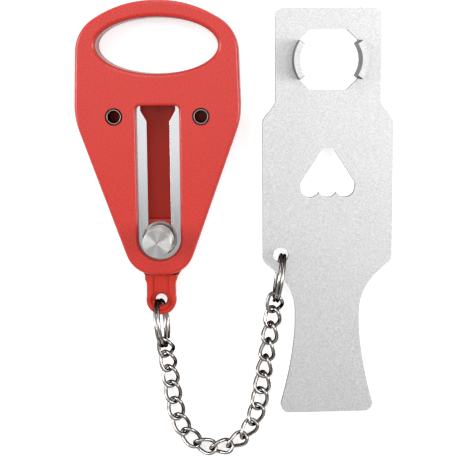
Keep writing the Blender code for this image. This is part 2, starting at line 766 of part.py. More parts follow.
def make_eyelet(side, x, look):
    """A tubular rivet: a rolled rim in its seat and a flared foot under the slide plate."""
    bore = EYELET_BORE / 2
    tube = EYELET_TUBE / 2
    rim = EYELET_RIM / 2
    seat = FACE - EYELET_SINK_DEPTH + RUNNING_GAP
    crest = seat + EYELET_RIM_THICKNESS
    foot_top = SLIDE_BOTTOM - RUNNING_GAP
    foot_bottom = foot_top - EYELET_FOOT_THICKNESS
    roll = (rim - bore) / 2
    middle = (rim + bore) / 2
    crown = [
        (middle - roll * math.cos(math.radians(a)), crest - EYELET_RIM_THICKNESS / 2
         + EYELET_RIM_THICKNESS / 2 * math.sin(math.radians(a)))
        for a in (0, 45, 90, 135, 180)
    ]
    profile = [(bore, foot_bottom)] + crown
    profile += [(rim, seat), (tube, seat), (tube, foot_top), (EYELET_FOOT / 2, foot_top)]
    profile += [(EYELET_FOOT / 2, (foot_top + foot_bottom) / 2), (tube, foot_bottom)]
    made = turned(f"eyelet_{side}", profile, SMALL_TURN_STEPS, look, closed=True)
    made.location = (x, EYELET_HEIGHT, 0)
    soften(made)
    return made


def make_screw(number, x, y, look):
    """A self-tapping cover screw with a pan head, driven in from the rear."""
    head = SCREW_HEAD / 2
    shank = SCREW_SHANK / 2
    under = SCREW_SINK_DEPTH - RUNNING_GAP
    face = under - SCREW_HEAD_THICKNESS
    profile = [
        (0, face),
        (head - RUNNING_GAP, face),
        (head, face + RUNNING_GAP),
        (head, under),
        (shank, under),
        (shank, SCREW_TIP_HEIGHT - shank),
        (0, SCREW_TIP_HEIGHT),
    ]
    made = turned(f"cover_screw_{number}", profile, SMALL_TURN_STEPS, look)
    made.location = (x, y, 0)
    soften(made)
    return made


# Slider and knob

def make_shoe(look):
    """The shoe that runs between the rails and carries the stud."""
    half_width = SHOE_WIDTH / 2
    half_length = SHOE_LENGTH / 2
    half = round_corners(
        [
            (0, -half_length, 0),
            (half_width, -half_length, SHOE_CORNER),
            (half_width, half_length, SHOE_CORNER),
            (0, half_length, 0),
        ],
        CORNER_STEPS,
    )
    base = REAR_FLOOR + SHOE_LIFT
    shoe = slab("slide_shoe", mirrored(half), base, SHOE_TOP, look)
    pocket_radius = STUD_HEX_WIDTH / 2 / math.cos(math.radians(30)) + RUNNING_GAP
    pocket_top = REAR_FLOOR + 2 * RUNNING_GAP + STUD_HEX_THICKNESS
    pocket = slab("shoe_pocket", circle((0, 0), pocket_radius, 6), base - OVERRUN, pocket_top, look)
    bore = circle((0, 0), STUD_SHOULDER / 2 + RUNNING_GAP, TURN_STEPS)
    hole = slab("shoe_bore", bore, base - OVERRUN, SHOE_TOP + OVERRUN, look)
    for cutter in (pocket, hole):
        cutter.location = (0, KNOB_REST, 0)
    cut(shoe, pocket, hole)
    shoe.location = (0, KNOB_REST, 0)
    soften(shoe)
    return shoe


def make_stud(look):
    """The stud: hex foot in the shoe, a shoulder through the slot and a spigot inside the knob."""
    base = REAR_FLOOR + RUNNING_GAP
    hex_top = base + STUD_HEX_THICKNESS
    shoulder_top = KNOB_BASE - RUNNING_GAP
    corners = circle((0, 0), STUD_HEX_WIDTH / 2 / math.cos(math.radians(30)), 6)
    stud = slab("hex_stud", corners, base, hex_top, look)
    shank = turned(
        "stud_shank",
        [
            (0, base + STUD_HEX_THICKNESS / 2),
            (STUD_SHOULDER / 2, base + STUD_HEX_THICKNESS / 2),
            (STUD_SHOULDER / 2, shoulder_top),
            (STUD_SPIGOT / 2, shoulder_top),
            (STUD_SPIGOT / 2, shoulder_top + STUD_SPIGOT_LENGTH - RUNNING_GAP),
            (STUD_SPIGOT / 2 - RUNNING_GAP, shoulder_top + STUD_SPIGOT_LENGTH),
            (0, shoulder_top + STUD_SPIGOT_LENGTH),
        ],
        TURN_STEPS,
        look,
    )
    shank.location = (0, KNOB_REST, 0)
    join(stud, shank)
    stud.location = (0, KNOB_REST, 0)
    soften(stud)
    return stud


def make_washer(look):
    """The wave washer that keeps the shoe drawn against the slide plate."""
    inner = STUD_SHOULDER / 2 + RUNNING_GAP
    outer = WASHER_WIDTH / 2
    middle = (SHOE_TOP + SLIDE_BOTTOM) / 2
    rings = []
    for step in range(TURN_STEPS):
        angle = math.tau * step / TURN_STEPS
        height = middle + WASHER_WAVE * math.sin(WASHER_WAVES * angle)
        low = height - WASHER_THICKNESS / 2
        high = height + WASHER_THICKNESS / 2
        across = (math.cos(angle), math.sin(angle))
        rings.append([(across[0] * r, across[1] * r, z)
                      for r, z in ((inner, low), (outer, low), (outer, high), (inner, high))])
    washer = skin("wave_washer", rings, look, closed=True)
    washer.location = (0, KNOB_REST, 0)
    soften(washer)
    return washer


def make_knob(look):
    """The turned knob: collar, two grooves, a rib and a broad head with a centre dimple."""
    bore = STUD_SPIGOT / 2 + RUNNING_GAP
    roof = KNOB_BASE + STUD_SPIGOT_LENGTH
    neck = KNOB_NECK / 2
    profile = [(0, roof), (bore, roof), (bore, KNOB_BASE)]
    level = KNOB_BASE
    for width, length, groove in (
        (KNOB_COLLAR, KNOB_COLLAR_LENGTH, LOWER_GROOVE),
        (KNOB_RIB, KNOB_RIB_LENGTH, UPPER_GROOVE),
    ):
        radius = width / 2
        profile += [(radius - KNOB_EDGE, level), (radius, level + KNOB_EDGE)]
        level += length
        profile += [(radius, level - KNOB_EDGE), (radius - KNOB_EDGE, level), (neck, level)]
        level += groove
        profile.append((neck, level))
    head = KNOB_HEAD / 2
    top = level + KNOB_HEAD_LENGTH
    profile += [(head - KNOB_EDGE, level), (head, level + KNOB_EDGE), (head, top - KNOB_EDGE)]
    profile += [(head - KNOB_EDGE, top), (DIMPLE_DIAMETER / 2, top), (0, top - DIMPLE_DEPTH)]
    knob = turned("knob", profile, TURN_STEPS, look)
    knob.location = (0, KNOB_REST, 0)
    soften(knob, angle=25.0)
    return knob


# Rings and chain

def ring_frame(yaw, lean):
    """Axes of a standing ring: along the floor, its normal, and up in its plane."""
    along = Vector((math.cos(math.radians(yaw)), math.sin(math.radians(yaw)), 0))
    level_normal = Vector((-along.y, along.x, 0))
    tilt = math.radians(lean)
    normal = level_normal * math.cos(tilt) - Vector((0, 0, 1)) * math.sin(tilt)
    rise = level_normal * math.sin(tilt) + Vector((0, 0, 1)) * math.cos(tilt)
    return along, normal, rise


def ring_height(lean):
    """Height of a leaning ring's centre when it stands on the floor."""
    tilt = math.radians(abs(lean))
    return RING_DIAMETER / 2 * math.cos(tilt) + (RING_COIL_STEP + RING_WIRE) / 2 * math.sin(tilt)


def ring_points(centre_along, centre_rise):
    """Two turns of wire about a centre, in (along, normal, rise) axes of the ring."""
    total = 720.0 - RING_RAMP - RING_END_SPACE
    points = []
    for step in range(2 * RING_STEPS + 1):
        degrees = total * step / (2 * RING_STEPS)
        ramp = min(max((degrees - 360.0 + RING_RAMP) / RING_RAMP, 0), 1)
        across = (ramp - 0.5) * RING_COIL_STEP
        angle = math.radians(degrees)
        points.append((
            centre_along + RING_RADIUS * math.cos(angle),
            across,
            centre_rise + RING_RADIUS * math.sin(angle),
        ))
    return points


def make_ring(name, pivot, centre, yaw, lean, look):
    """A split ring whose origin is its pivot."""
    along, normal, rise = ring_frame(yaw, lean)
    reach = centre - pivot
    points = ring_points(reach.dot(along), reach.dot(rise))
    ring = wire_form(name, points, RING_WIRE, look, closed=False)
    turn = Matrix((along, normal, rise)).transposed().to_4x4()
    ring.matrix_world = Matrix.Translation(pivot) @ turn
    return ring


def link_points():
    """The centre line of a twisted link, whose origin is where the link before it pulls."""
    points = []
    for step in range(LINK_STEPS):
        angle = math.tau * step / LINK_STEPS
        points.append((
            LINK_PITCH / 2 + LINK_HALF_LENGTH * math.cos(angle),
            LINK_HALF_WIDTH * math.sin(angle),
            -LINK_TWIST * math.sin(2 * angle),
        ))
    return points


def link_height(roll):
    """Height of a rolled link's axis when it lies on the floor."""
    turn = math.radians(roll)
    lowest = min(y * math.sin(turn) + z * math.cos(turn) for _, y, z in link_points())
    return LINK_WIRE / 2 - lowest


def chain_places(start):
    """The pull points of the chain, from its hook on the tab ring to its hook on the plate ring."""
    floor = [link_height(roll) for roll in LINK_ROLLS]
    heights = []
    for index in range(LINK_COUNT + 1):
        near = floor[max(index - 1, 0):index + 1]
        from_end = min(index, LINK_COUNT - index)
        share = DRAPE_SHARES[from_end] if from_end < len(DRAPE_SHARES) else 0
        heights.append(max(near) + share * (start.z - max(near)))
    places = [start.copy()]
    for index, heading in enumerate(LINK_HEADINGS):
        rise = heights[index + 1] - heights[index]
        level = math.sqrt(LINK_PITCH ** 2 - rise ** 2)
        angle = math.radians(heading)
        places.append(places[-1] + Vector((level * math.cos(angle), level * math.sin(angle), rise)))
    return places


def make_links(places, look):
    """The chain's links, which share one curve."""
    curve = None
    links = []
    for index, (here, ahead) in enumerate(zip(places, places[1:])):
        name = f"chain_link_{index + 1:02d}"
        if curve is None:
            link = wire_form(name, link_points(), LINK_WIRE, look, closed=True)
            curve = link.data
        else:
            link = place(name, curve, look)
        along = (ahead - here).normalized()
        across = Vector((0, 0, 1)).cross(along).normalized()
        upward = along.cross(across)
        level = Matrix((along, across, upward)).transposed().to_4x4()
        roll = Matrix.Rotation(math.radians(LINK_ROLLS[index]), 4, "X")
        link.matrix_world = Matrix.Translation(here) @ level @ roll
        links.append(link)
    return links


# Latch plate, drawn with its head end at y = 0 and its tail towards -Y

def ease(share):
    """A smooth step from 0 to 1."""
    return share * share * (3 - 2 * share)


def plate_outline():
    """Head, shoulders, body, swept hips, neck and flared tail."""
    head = PLATE_HEAD_WIDTH / 2
    body = PLATE_BODY_WIDTH / 2
    neck = PLATE_NECK_WIDTH / 2
    tail = PLATE_TAIL_WIDTH / 2
    right = []
    for step in range(PLATE_SWEEP_STEPS + 1):
        share = step / PLATE_SWEEP_STEPS
        down = NECK_MIDDLE + (PLATE_LENGTH - NECK_MIDDLE) * share
        right.append((neck + (tail - neck) * share ** 1.7, -down))
    right.reverse()
    hips = []
    for step in range(PLATE_SWEEP_STEPS):
        share = step / PLATE_SWEEP_STEPS
        down = BODY_END + (HIP_END - BODY_END) * share
        hips.append((neck + (body - neck) * (1 - share) ** 2.4, -down))
    hips.reverse()
    shoulders = []
    for step in range(PLATE_SWEEP_STEPS + 1):
        share = step / PLATE_SWEEP_STEPS
        down = HEAD_LENGTH + (BODY_START - HEAD_LENGTH) * share
        shoulders.append((head + (body - head) * ease(share), -down))
    shoulders.reverse()
    corners = [(0, -PLATE_LENGTH, 0), (tail, -PLATE_LENGTH, PLATE_CORNER)]
    corners += [(x, y, 0) for x, y in right[1:] + hips[:-1]]
    corners += [(body, -BODY_END, HIP_CORNER)]
    corners += [(x, y, 0) for x, y in shoulders]
    corners += [(head, 0, PLATE_CORNER), (0, 0, 0)]
    return mirrored(round_corners(corners, CORNER_STEPS))


def claw_hole_outline():
    """Flat top and bottom, sloping corners and straight sides inside the claws."""
    half_flat = CLAW_HOLE_FLAT / 2
    half_width = CLAW_HOLE_WIDTH / 2
    half_side = CLAW_HOLE_SIDE / 2
    top = CLAW_HOLE_HEIGHT / 2 - CLAW_HOLE_PLACE
    bottom = -CLAW_HOLE_HEIGHT / 2 - CLAW_HOLE_PLACE
    half = [
        (0, bottom),
        (half_flat, bottom),
        (half_width, -half_side - CLAW_HOLE_PLACE),
        (half_width, half_side - CLAW_HOLE_PLACE),
        (half_flat, top),
        (0, top),
    ]
    return mirrored(half)


def heart_outline():
    """The cut-out: a rounded point above and three scallops below."""
    half_width = HEART_WIDTH / 2
    half_space = HEART_LOBE_SPACING / 2
    lift = math.sqrt(HEART_LOBE_RADIUS ** 2 - half_space ** 2)
    cusp_angle = math.degrees(math.asin(lift / HEART_LOBE_RADIUS))
    middle = -HEART_CUSP + lift
    lobe = arc((0, middle), HEART_LOBE_RADIUS, -90, -cusp_angle, CORNER_STEPS)
    side = arc((HEART_LOBE_SPACING, middle), HEART_LOBE_RADIUS, cusp_angle - 180, 0, 2 * CORNER_STEPS)
    slope = round_corners(
        [
            (side[-1][0], middle, 0),
            (half_width, -HEART_SHOULDER, HEART_CORNER_RADIUS),
            (HEART_APEX_RADIUS * 0.8, -HEART_APEX, HEART_APEX_RADIUS),
            (0, -HEART_APEX, 0),
        ],
        CORNER_STEPS,
    )
    return mirrored(lobe + side[1:-1] + slope)


def make_claw(side, sign, look):
    """A claw: an arc of sheet bent up from the side of the hole, with rounded upper corners."""
    centre_x = CLAW_HOLE_WIDTH / 2 + CLAW_THICKNESS - CLAW_RADIUS
    rings = []
    for step in range(CLAW_STEPS + 1):
        share = 2 * step / CLAW_STEPS - 1
        angle = math.radians(CLAW_SPAN * share)
        from_end = CLAW_RADIUS * math.radians(CLAW_SPAN) * (1 - abs(share))
        short = max(CLAW_TOP_ROUND - from_end, 0)
        drop = CLAW_TOP_ROUND - math.sqrt(CLAW_TOP_ROUND ** 2 - short ** 2)
        top = PLATE_THICKNESS + CLAW_HEIGHT - drop
        ring = []
        for radius, z in (
            (CLAW_RADIUS - CLAW_THICKNESS, 0),
            (CLAW_RADIUS, 0),
            (CLAW_RADIUS, top),
            (CLAW_RADIUS - CLAW_THICKNESS, top),
        ):
            x = centre_x + radius * math.cos(angle)
            ring.append((sign * x, radius * math.sin(angle) - CLAW_HOLE_PLACE, z))
        rings.append(ring)
    return skin(f"claw_{side}", rings, look)


def make_latch_plate(pivot, turn, look):
    """The latch plate, with its origin at the rim of its chain hole where the ring pulls."""
    top = PLATE_THICKNESS + OVERRUN
    plate = slab("latch_plate", plate_outline(), 0, PLATE_THICKNESS, look)
    hole = circle((-CHAIN_HOLE_OFFSET, -CHAIN_HOLE_PLACE), CHAIN_HOLE_DIAMETER / 2, SMALL_TURN_STEPS)
    cut(
        plate,
        slab("claw_hole", claw_hole_outline(), -OVERRUN, top, look),
        slab("heart_hole", heart_outline(), -OVERRUN, top, look),
        slab("chain_hole", hole, -OVERRUN, top, look),
    )
    claws = [make_claw(side, sign, look) for side, sign in (("left", -1), ("right", 1))]
    join(plate, *claws)
    soften(plate)
    pivot_local = plate_pivot()
    for made in [plate] + [step.object for step in plate.modifiers]:
        made.data.transform(Matrix.Translation(-pivot_local))
        made.matrix_world = Matrix.Translation(pivot) @ turn
    return plate


def plate_pivot():
    """The middle of the sheet just below the chain hole, in the plate's own drawing."""
    return Vector((
        -CHAIN_HOLE_OFFSET,
        -CHAIN_HOLE_PLACE - CHAIN_HOLE_DIAMETER / 2 - PLATE_THICKNESS / 2,
        PLATE_THICKNESS / 2,
    ))


# Assembly

def tab_ring_places():
    """Pivot and centre of the ring that hangs in the tab."""
    web = TAB_WEB / 2
    pivot = Vector((0, -TAB_HOLE_PLACE - TAB_HOLE_DIAMETER / 2 - web, TAB_MIDDLE))
    reach = RING_INSIDE - web - RING_SLACK
    along, _, rise = ring_frame(TAB_RING_YAW, TAB_RING_LEAN)
    climb = (ring_height(TAB_RING_LEAN) - pivot.z) / rise.z
    centre = pivot + rise * climb + along * math.sqrt(reach ** 2 - climb ** 2)
    return pivot, centre


def hook_point(centre, yaw, lean):
    """Where a link pulls on a ring: low on the ring's far side."""
    along, _, rise = ring_frame(yaw, lean)
    reach = RING_INSIDE - HOOK_SLACK
    angle = math.radians(HOOK_ANGLE)
    return centre + along * reach * math.cos(angle) - rise * reach * math.sin(angle)


def plate_ring_places(hook):
    """Centre and pivot of the ring that hangs in the latch plate, worked back from the chain's end."""
    along, _, rise = ring_frame(PLATE_RING_YAW, PLATE_RING_LEAN)
    centre = hook - (hook_point(Vector(), PLATE_RING_YAW, PLATE_RING_LEAN))
    tilt = math.radians(PLATE_TILT)
    lift = (PLATE_BODY_WIDTH / 2 + CHAIN_HOLE_OFFSET) * math.sin(tilt) + PLATE_THICKNESS / 2 * math.cos(tilt)
    reach = RING_INSIDE - PLATE_THICKNESS / math.sqrt(2) - RING_SLACK
    climb = (centre.z - lift) / rise.z
    pivot = centre - rise * climb - along * math.sqrt(reach ** 2 - climb ** 2)
    return centre, pivot


def build():
    """Models the whole lock."""
    red_plastic = finish("moulded red plastic", (0.62, 0.045, 0.035), 0.42, 0.0)
    red_nylon = finish("red nylon", (0.33, 0.02, 0.016), 0.5, 0.0)
    satin_steel = finish("satin stainless steel", (0.62, 0.62, 0.62), 0.42, 1.0)
    bright_steel = finish("bright nickel plate", (0.66, 0.64, 0.62), 0.2, 1.0)
    turned_steel = finish("turned stainless steel", (0.66, 0.66, 0.66), 0.25, 1.0)

    make_rear_cover(red_plastic)
    make_front_cover(red_plastic)
    make_slide_plate(satin_steel)
    for side, x in pair(EYELET_SPREAD):
        make_eyelet(side, x, bright_steel)
    for number, (x, y) in enumerate(screw_places()):
        make_screw(number + 1, x, y, bright_steel)
    make_shoe(red_nylon)
    make_stud(bright_steel)
    make_washer(bright_steel)
    make_knob(turned_steel)

    tab_pivot, tab_centre = tab_ring_places()
    make_ring("tab_ring", tab_pivot, tab_centre, TAB_RING_YAW, TAB_RING_LEAN, bright_steel)
    start = hook_point(tab_centre, TAB_RING_YAW, TAB_RING_LEAN)
    places = chain_places(start)
    make_links(places, bright_steel)
    centre, pivot = plate_ring_places(places[-1])
    make_ring("plate_ring", places[-1], centre, PLATE_RING_YAW, PLATE_RING_LEAN, bright_steel)
    make_latch_plate(pivot, Matrix.Rotation(math.radians(PLATE_TILT), 4, "Y"), satin_steel)


for leftover in list(bpy.data.objects):
    bpy.data.objects.remove(leftover)
build()
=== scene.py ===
"""Looks of a portable door lock.

A red two-shell handle carries a steel slide plate and a turned knob. Two split rings and a chain of
twisted links join it to a bead-blasted steel latch plate with two bent claws.
Metres, +Z up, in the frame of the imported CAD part.
"""

import json
import logging
import math
from contextlib import contextmanager
from dataclasses import dataclass
from enum import Enum
from functools import cached_property
from typing import Any, Callable, Iterator, Optional, Sequence

import bmesh
import bpy
from mathutils import Matrix, Vector

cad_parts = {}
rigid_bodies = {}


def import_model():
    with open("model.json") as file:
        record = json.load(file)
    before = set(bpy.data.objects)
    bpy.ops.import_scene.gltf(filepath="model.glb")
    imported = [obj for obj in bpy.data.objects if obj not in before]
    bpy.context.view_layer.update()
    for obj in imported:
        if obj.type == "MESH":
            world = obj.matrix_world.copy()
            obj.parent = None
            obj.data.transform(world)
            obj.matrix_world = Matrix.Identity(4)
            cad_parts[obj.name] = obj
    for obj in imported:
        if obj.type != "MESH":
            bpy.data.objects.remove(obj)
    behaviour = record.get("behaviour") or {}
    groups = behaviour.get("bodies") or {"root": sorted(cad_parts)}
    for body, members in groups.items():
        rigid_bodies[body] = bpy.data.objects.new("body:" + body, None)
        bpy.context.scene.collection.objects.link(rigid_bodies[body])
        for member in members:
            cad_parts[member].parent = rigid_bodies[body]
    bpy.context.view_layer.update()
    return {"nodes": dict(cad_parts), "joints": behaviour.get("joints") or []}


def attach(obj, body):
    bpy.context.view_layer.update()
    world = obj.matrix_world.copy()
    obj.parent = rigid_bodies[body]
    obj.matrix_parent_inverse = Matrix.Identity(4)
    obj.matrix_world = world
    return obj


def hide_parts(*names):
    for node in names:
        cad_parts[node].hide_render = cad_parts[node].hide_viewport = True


LOG = logging.getLogger("door_lock")

Place = tuple[float, float, float]
Flat = tuple[float, float]

MM = 0.001
UP = (0.0, 0.0, 1.0)
OVERRUN = 2 * MM  # how far a cutter reaches past the face that it cuts
GAP = 0.3 * MM  # clearance between two pieces
WELD = 0.001 * MM  # points nearer than this are one
FLAT_WITHIN = 5 * WELD  # an edge lies flat when its ends differ by less
LEVEL_FACE = 0.7  # upright share of the normal above which a face counts as level
HARD_EDGE = math.radians(32)  # edges sharper than this stay sharp
WIRE_EDGE = math.radians(60)  # the same on bent wire
KNOB_EDGE = math.radians(28)  # the same on the knob
NORMAL_WEIGHT = 80
ROUND_STEPS = 48  # facets round a small bore or boss
FINE_STEPS = 64  # facets round a bore that shows
CORNER_STEPS = 10  # chords of a rounded corner
TIGHT_STEPS = 8  # chords of a tight corner
WIRE_STEPS = 3  # pieces of bent wire between two of its points
WIRE_FACETS = 5  # the finer, the rounder the wire

MIX = "ShaderNodeMix"
NOISE = "ShaderNodeTexNoise"
RANGE = "ShaderNodeMapRange"
MATHS = "ShaderNodeMath"


class Slot(Enum):
    """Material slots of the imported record."""

    RED_PLASTIC = "moulded_red_plastic"
    SATIN_STEEL = "satin_stainless_steel"
    NICKEL = "bright_nickel_plate"
    TURNED_STEEL = "turned_stainless_steel"
    NYLON = "red_nylon"


class Operation(Enum):
    """How one form acts on another."""

    CUT = "DIFFERENCE"
    JOIN = "UNION"


# Outlines: lists of (x, y) points that run anticlockwise


def arc(centre: Flat, radius: float, start: float, end: float, steps: int) -> list[Flat]:
    """Points on an arc.

    Args:
        centre: the arc's centre.
        radius: its radius.
        start: angle of the first point, in degrees.
        end: angle of the last point, in degrees.
        steps: number of chords.

    Returns:
        The points, both ends included.
    """
    angles = [math.radians(start + (end - start) * step / steps) for step in range(steps + 1)]
    return [(centre[0] + radius * math.cos(a), centre[1] + radius * math.sin(a)) for a in angles]


def rounded(corners: Sequence[tuple[float, float, float]], steps: int) -> list[Flat]:
    """A path through corners, with an arc in place of each inner corner that has a radius.

    Args:
        corners: (x, y, radius) of each corner.
        steps: number of chords in each arc.

    Returns:
        The points of the path.
    """
    path: list[Flat] = []
    last = len(corners) - 1
    for index, (x, y, radius) in enumerate(corners):
        here = Vector((x, y))
        if radius == 0 or index in (0, last):
            path.append((x, y))
            continue
        back = (Vector(corners[index - 1][:2]) - here).normalized()
        ahead = (Vector(corners[index + 1][:2]) - here).normalized()
        half_turn = back.angle(ahead) / 2
        centre = here + (back + ahead).normalized() * radius / math.sin(half_turn)
        first = here + back * radius / math.tan(half_turn) - centre
        final = here + ahead * radius / math.tan(half_turn) - centre
        sweep = first.angle_signed(final)
        for step in range(steps + 1):
            spoke = first.copy()
            spoke.rotate(Matrix.Rotation(-sweep * step / steps, 2))
            path.append(tuple(centre + spoke))
    return path


def mirrored(half: Sequence[Flat]) -> list[Flat]:
    """Closes a right half that runs upwards from the centre line back to it."""
    return list(half) + [(-x, y) for x, y in reversed(half) if x > WELD]


def oblong(left: float, right: float, low: float, high: float) -> list[Flat]:
    """The four corners of a rectangle."""
    return [(left, low), (right, low), (right, high), (left, high)]


def ease(share: float) -> float:
    """Runs from 0 to 1 with a soft start and a soft end."""
    return share * share * (3 - 2 * share)


# Bench: operators on one piece at a time


def take(obj: bpy.types.Object) -> None:
    """Makes an object the active one and the only one that is selected.

    Args:
        obj: the object.
    """
    bpy.ops.object.select_all(action="DESELECT")
    bpy.context.view_layer.objects.active = obj
    obj.select_set(True)


@contextmanager
def editing(obj: bpy.types.Object, mode: str = "VERT") -> Iterator[None]:
    """Edit mode on one object, with nothing selected at its start.

    Args:
        obj: the object to edit.
        mode: VERT, EDGE or FACE.

    Yields:
        Nothing; the block runs in edit mode.
    """
    take(obj)
    bpy.ops.object.mode_set(mode="EDIT")
    bpy.ops.mesh.select_mode(type=mode)
    bpy.ops.mesh.select_all(action="DESELECT")
    yield
    bpy.ops.object.mode_set(mode="OBJECT")


class Blank:
    """A piece on the bench: one mesh object that operators shape."""

    def __init__(self, name: str, obj: Optional[bpy.types.Object] = None) -> None:
        """Takes a mesh object, or puts an empty one on the bench.

        Args:
            name: the piece's name.
            obj: the object, or None for an empty one.
        """
        if obj is None:
            bpy.ops.object.select_all(action="DESELECT")
            bpy.ops.mesh.primitive_plane_add(size=MM)
            obj = bpy.context.object
            with editing(obj):
                bpy.ops.mesh.select_all(action="SELECT")
                bpy.ops.mesh.delete(type="VERT")
        self.obj = obj
        obj.name = obj.data.name = name

    def draw(self, points: Sequence[Place]) -> None:
        """Draws a chain of edges in edit mode, one extruded point after another.

        Args:
            points: the places that it runs through.
        """
        bpy.ops.mesh.primitive_plane_add(size=MM)
        bpy.ops.mesh.merge(type="CENTER")
        here = Vector()
        for index, point in enumerate(points):
            step = Vector(point) - here
            if index == 0:
                bpy.ops.transform.translate(value=step)
            else:
                bpy.ops.mesh.extrude_vertices_move(TRANSFORM_OT_translate={"value": step})
            here = Vector(point)

    def prism(self, outline: Sequence[Flat], bottom: float, top: float) -> "Blank":
        """Fills an outline and extrudes it upwards.

        Args:
            outline: its (x, y) points.
            bottom: height of the lower face.
            top: height of the upper face.

        Returns:
            The blank itself.
        """
        with editing(self.obj):
            self.draw([(x, y, bottom) for x, y in outline])
            bpy.ops.mesh.select_linked()
            bpy.ops.mesh.remove_doubles(threshold=WELD)
            bpy.ops.mesh.edge_face_add()
            bpy.ops.mesh.extrude_region_move(TRANSFORM_OT_translate={"value": (0, 0, top - bottom)})
        return self.tidy()

    def lathe(
        self, profile: Sequence[Flat], centre: Flat, steps: int, closed: bool = False
    ) -> "Blank":
        """Spins a (radius, height) profile about an upright axis.

        Args:
            profile: its points, from one end to the other.
            centre: the axis.
            steps: number of facets round it.
            closed: True where the profile is a loop.

        Returns:
            The blank itself.
        """
        x, y = centre
        loop = list(profile) + ([profile[0]] if closed else [])
        with editing(self.obj):
            self.draw([(x + radius, y, height) for radius, height in loop])
            bpy.ops.mesh.select_linked()
            bpy.ops.mesh.spin(steps=steps, angle=math.tau, center=(x, y, 0), axis=UP)
        return self.tidy()

    def tidy(self) -> "Blank":
        """Merges doubles and turns every face outwards.

        Returns:
            The blank itself.
        """
        with editing(self.obj):
            bpy.ops.mesh.select_all(action="SELECT")
            bpy.ops.mesh.remove_doubles(threshold=WELD)
            bpy.ops.mesh.normals_make_consistent(inside=False)
        return self

    def round_edges(
        self, radius: float, segments: int, wanted: Callable[[bmesh.types.BMEdge], bool]
    ) -> "Blank":
        """Bevels the edges that pass a test.

        Args:
            radius: the bevel's reach.
            segments: its number of facets.
            wanted: the test for an edge.

        Returns:
            The blank itself.
        """
        with editing(self.obj, "EDGE"):
            mesh = bmesh.from_edit_mesh(self.obj.data)
            for edge in mesh.edges:
                if wanted(edge):
                    edge.select_set(True)
            bmesh.update_edit_mesh(self.obj.data)
            bpy.ops.mesh.bevel(
                offset=radius,
                offset_type="OFFSET",
                segments=segments,
                affect="EDGES",
                clamp_overlap=False,
            )
        return self

    def modify(self, kind: str, **settings: Any) -> "Blank":
        """Adds one modifier and applies it.

        Args:
            kind: the modifier's type.
            settings: its settings.

        Returns:
            The blank itself.
        """
        take(self.obj)
        bpy.ops.object.modifier_add(type=kind)
        step = self.obj.modifiers[-1]
        for name, value in settings.items():
            setattr(step, name, value)
        bpy.ops.object.modifier_apply(modifier=step.name)
        return self

    def work(self, operation: Operation, *tools: "Blank") -> "Blank":
        """Cuts with other forms, or joins them on, and uses them up.

        Args:
            operation: what the forms do.
            tools: the forms.

        Returns:
            The blank itself.
        """
        for tool in tools:
            self.modify("BOOLEAN", operation=operation.value, solver="EXACT", object=tool.obj)
            bpy.data.objects.remove(tool.obj)
        return self

    def cut(self, *tools: "Blank") -> "Blank":
        """Cuts forms out."""
        return self.work(Operation.CUT, *tools)

    def join(self, *tools: "Blank") -> "Blank":
        """Joins forms on."""
        return self.work(Operation.JOIN, *tools)

    def ease_edges(self, radius: float, segments: int = 2, angle: float = 40.0) -> "Blank":
        """Softens every hard edge a little, as a deburred or moulded part has it.

        Args:
            radius: the width of the softening.
            segments: its number of facets.
            angle: the least angle of a hard edge, in degrees.

        Returns:
            The blank itself.
        """
        return self.modify(
            "BEVEL",
            width=radius,
            segments=segments,
            limit_method="ANGLE",
            angle_limit=math.radians(angle),
            use_clamp_overlap=True,
            harden_normals=False,
        )

    def copy(self, name: str, move: Matrix) -> "Blank":
        """A second piece with its own mesh.

        Args:
            name: the new piece's name.
            move: where it goes.

        Returns:
            The new blank.
        """
        take(self.obj)
        bpy.ops.object.duplicate(linked=False)
        return Blank(name, bpy.context.object).move(move)

    def move(self, move: Matrix) -> "Blank":
        """Places the piece and applies the place to its mesh.

        Args:
            move: its place and turn.

        Returns:
            The blank itself.
        """
        take(self.obj)
        self.obj.matrix_world = move
        bpy.ops.object.transform_apply(location=True, rotation=True, scale=True)
        return self

    def finish(
        self,
        look: bpy.types.Material,
        slot: Slot,
        body: str,
        stands_for: str,
        angle: float = HARD_EDGE,
    ) -> None:
        """Shades, dresses and hangs the piece on its body.

        Args:
            look: its material.
            slot: the record's material slot; not used.
            body: the CAD body that it rides on.
            stands_for: the CAD node that it replaces.
            angle: the least angle of an edge that stays sharp.
        """
        take(self.obj)
        bpy.ops.object.shade_smooth_by_angle(angle=angle)
        self.modify("WEIGHTED_NORMAL", keep_sharp=True, weight=NORMAL_WEIGHT)
        self.obj.data.materials.clear()
        self.obj.data.materials.append(look)
        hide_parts(stands_for)
        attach(self.obj, body)
        LOG.info("%s: %d faces on %s", self.obj.name, len(self.obj.data.polygons), body)


def drum(
    name: str, centre: Flat, radius: float, bottom: float, top: float, steps: int = ROUND_STEPS
) -> Blank:
    """An upright cylinder.

    Args:
        name: its name.
        centre: its axis.
        radius: its radius.
        bottom: height of its lower face.
        top: height of its upper face.
        steps: number of facets round it.

    Returns:
        The blank.
    """
    return Blank(name).prism(arc(centre, radius, 0, 360, steps)[:-1], bottom, top)


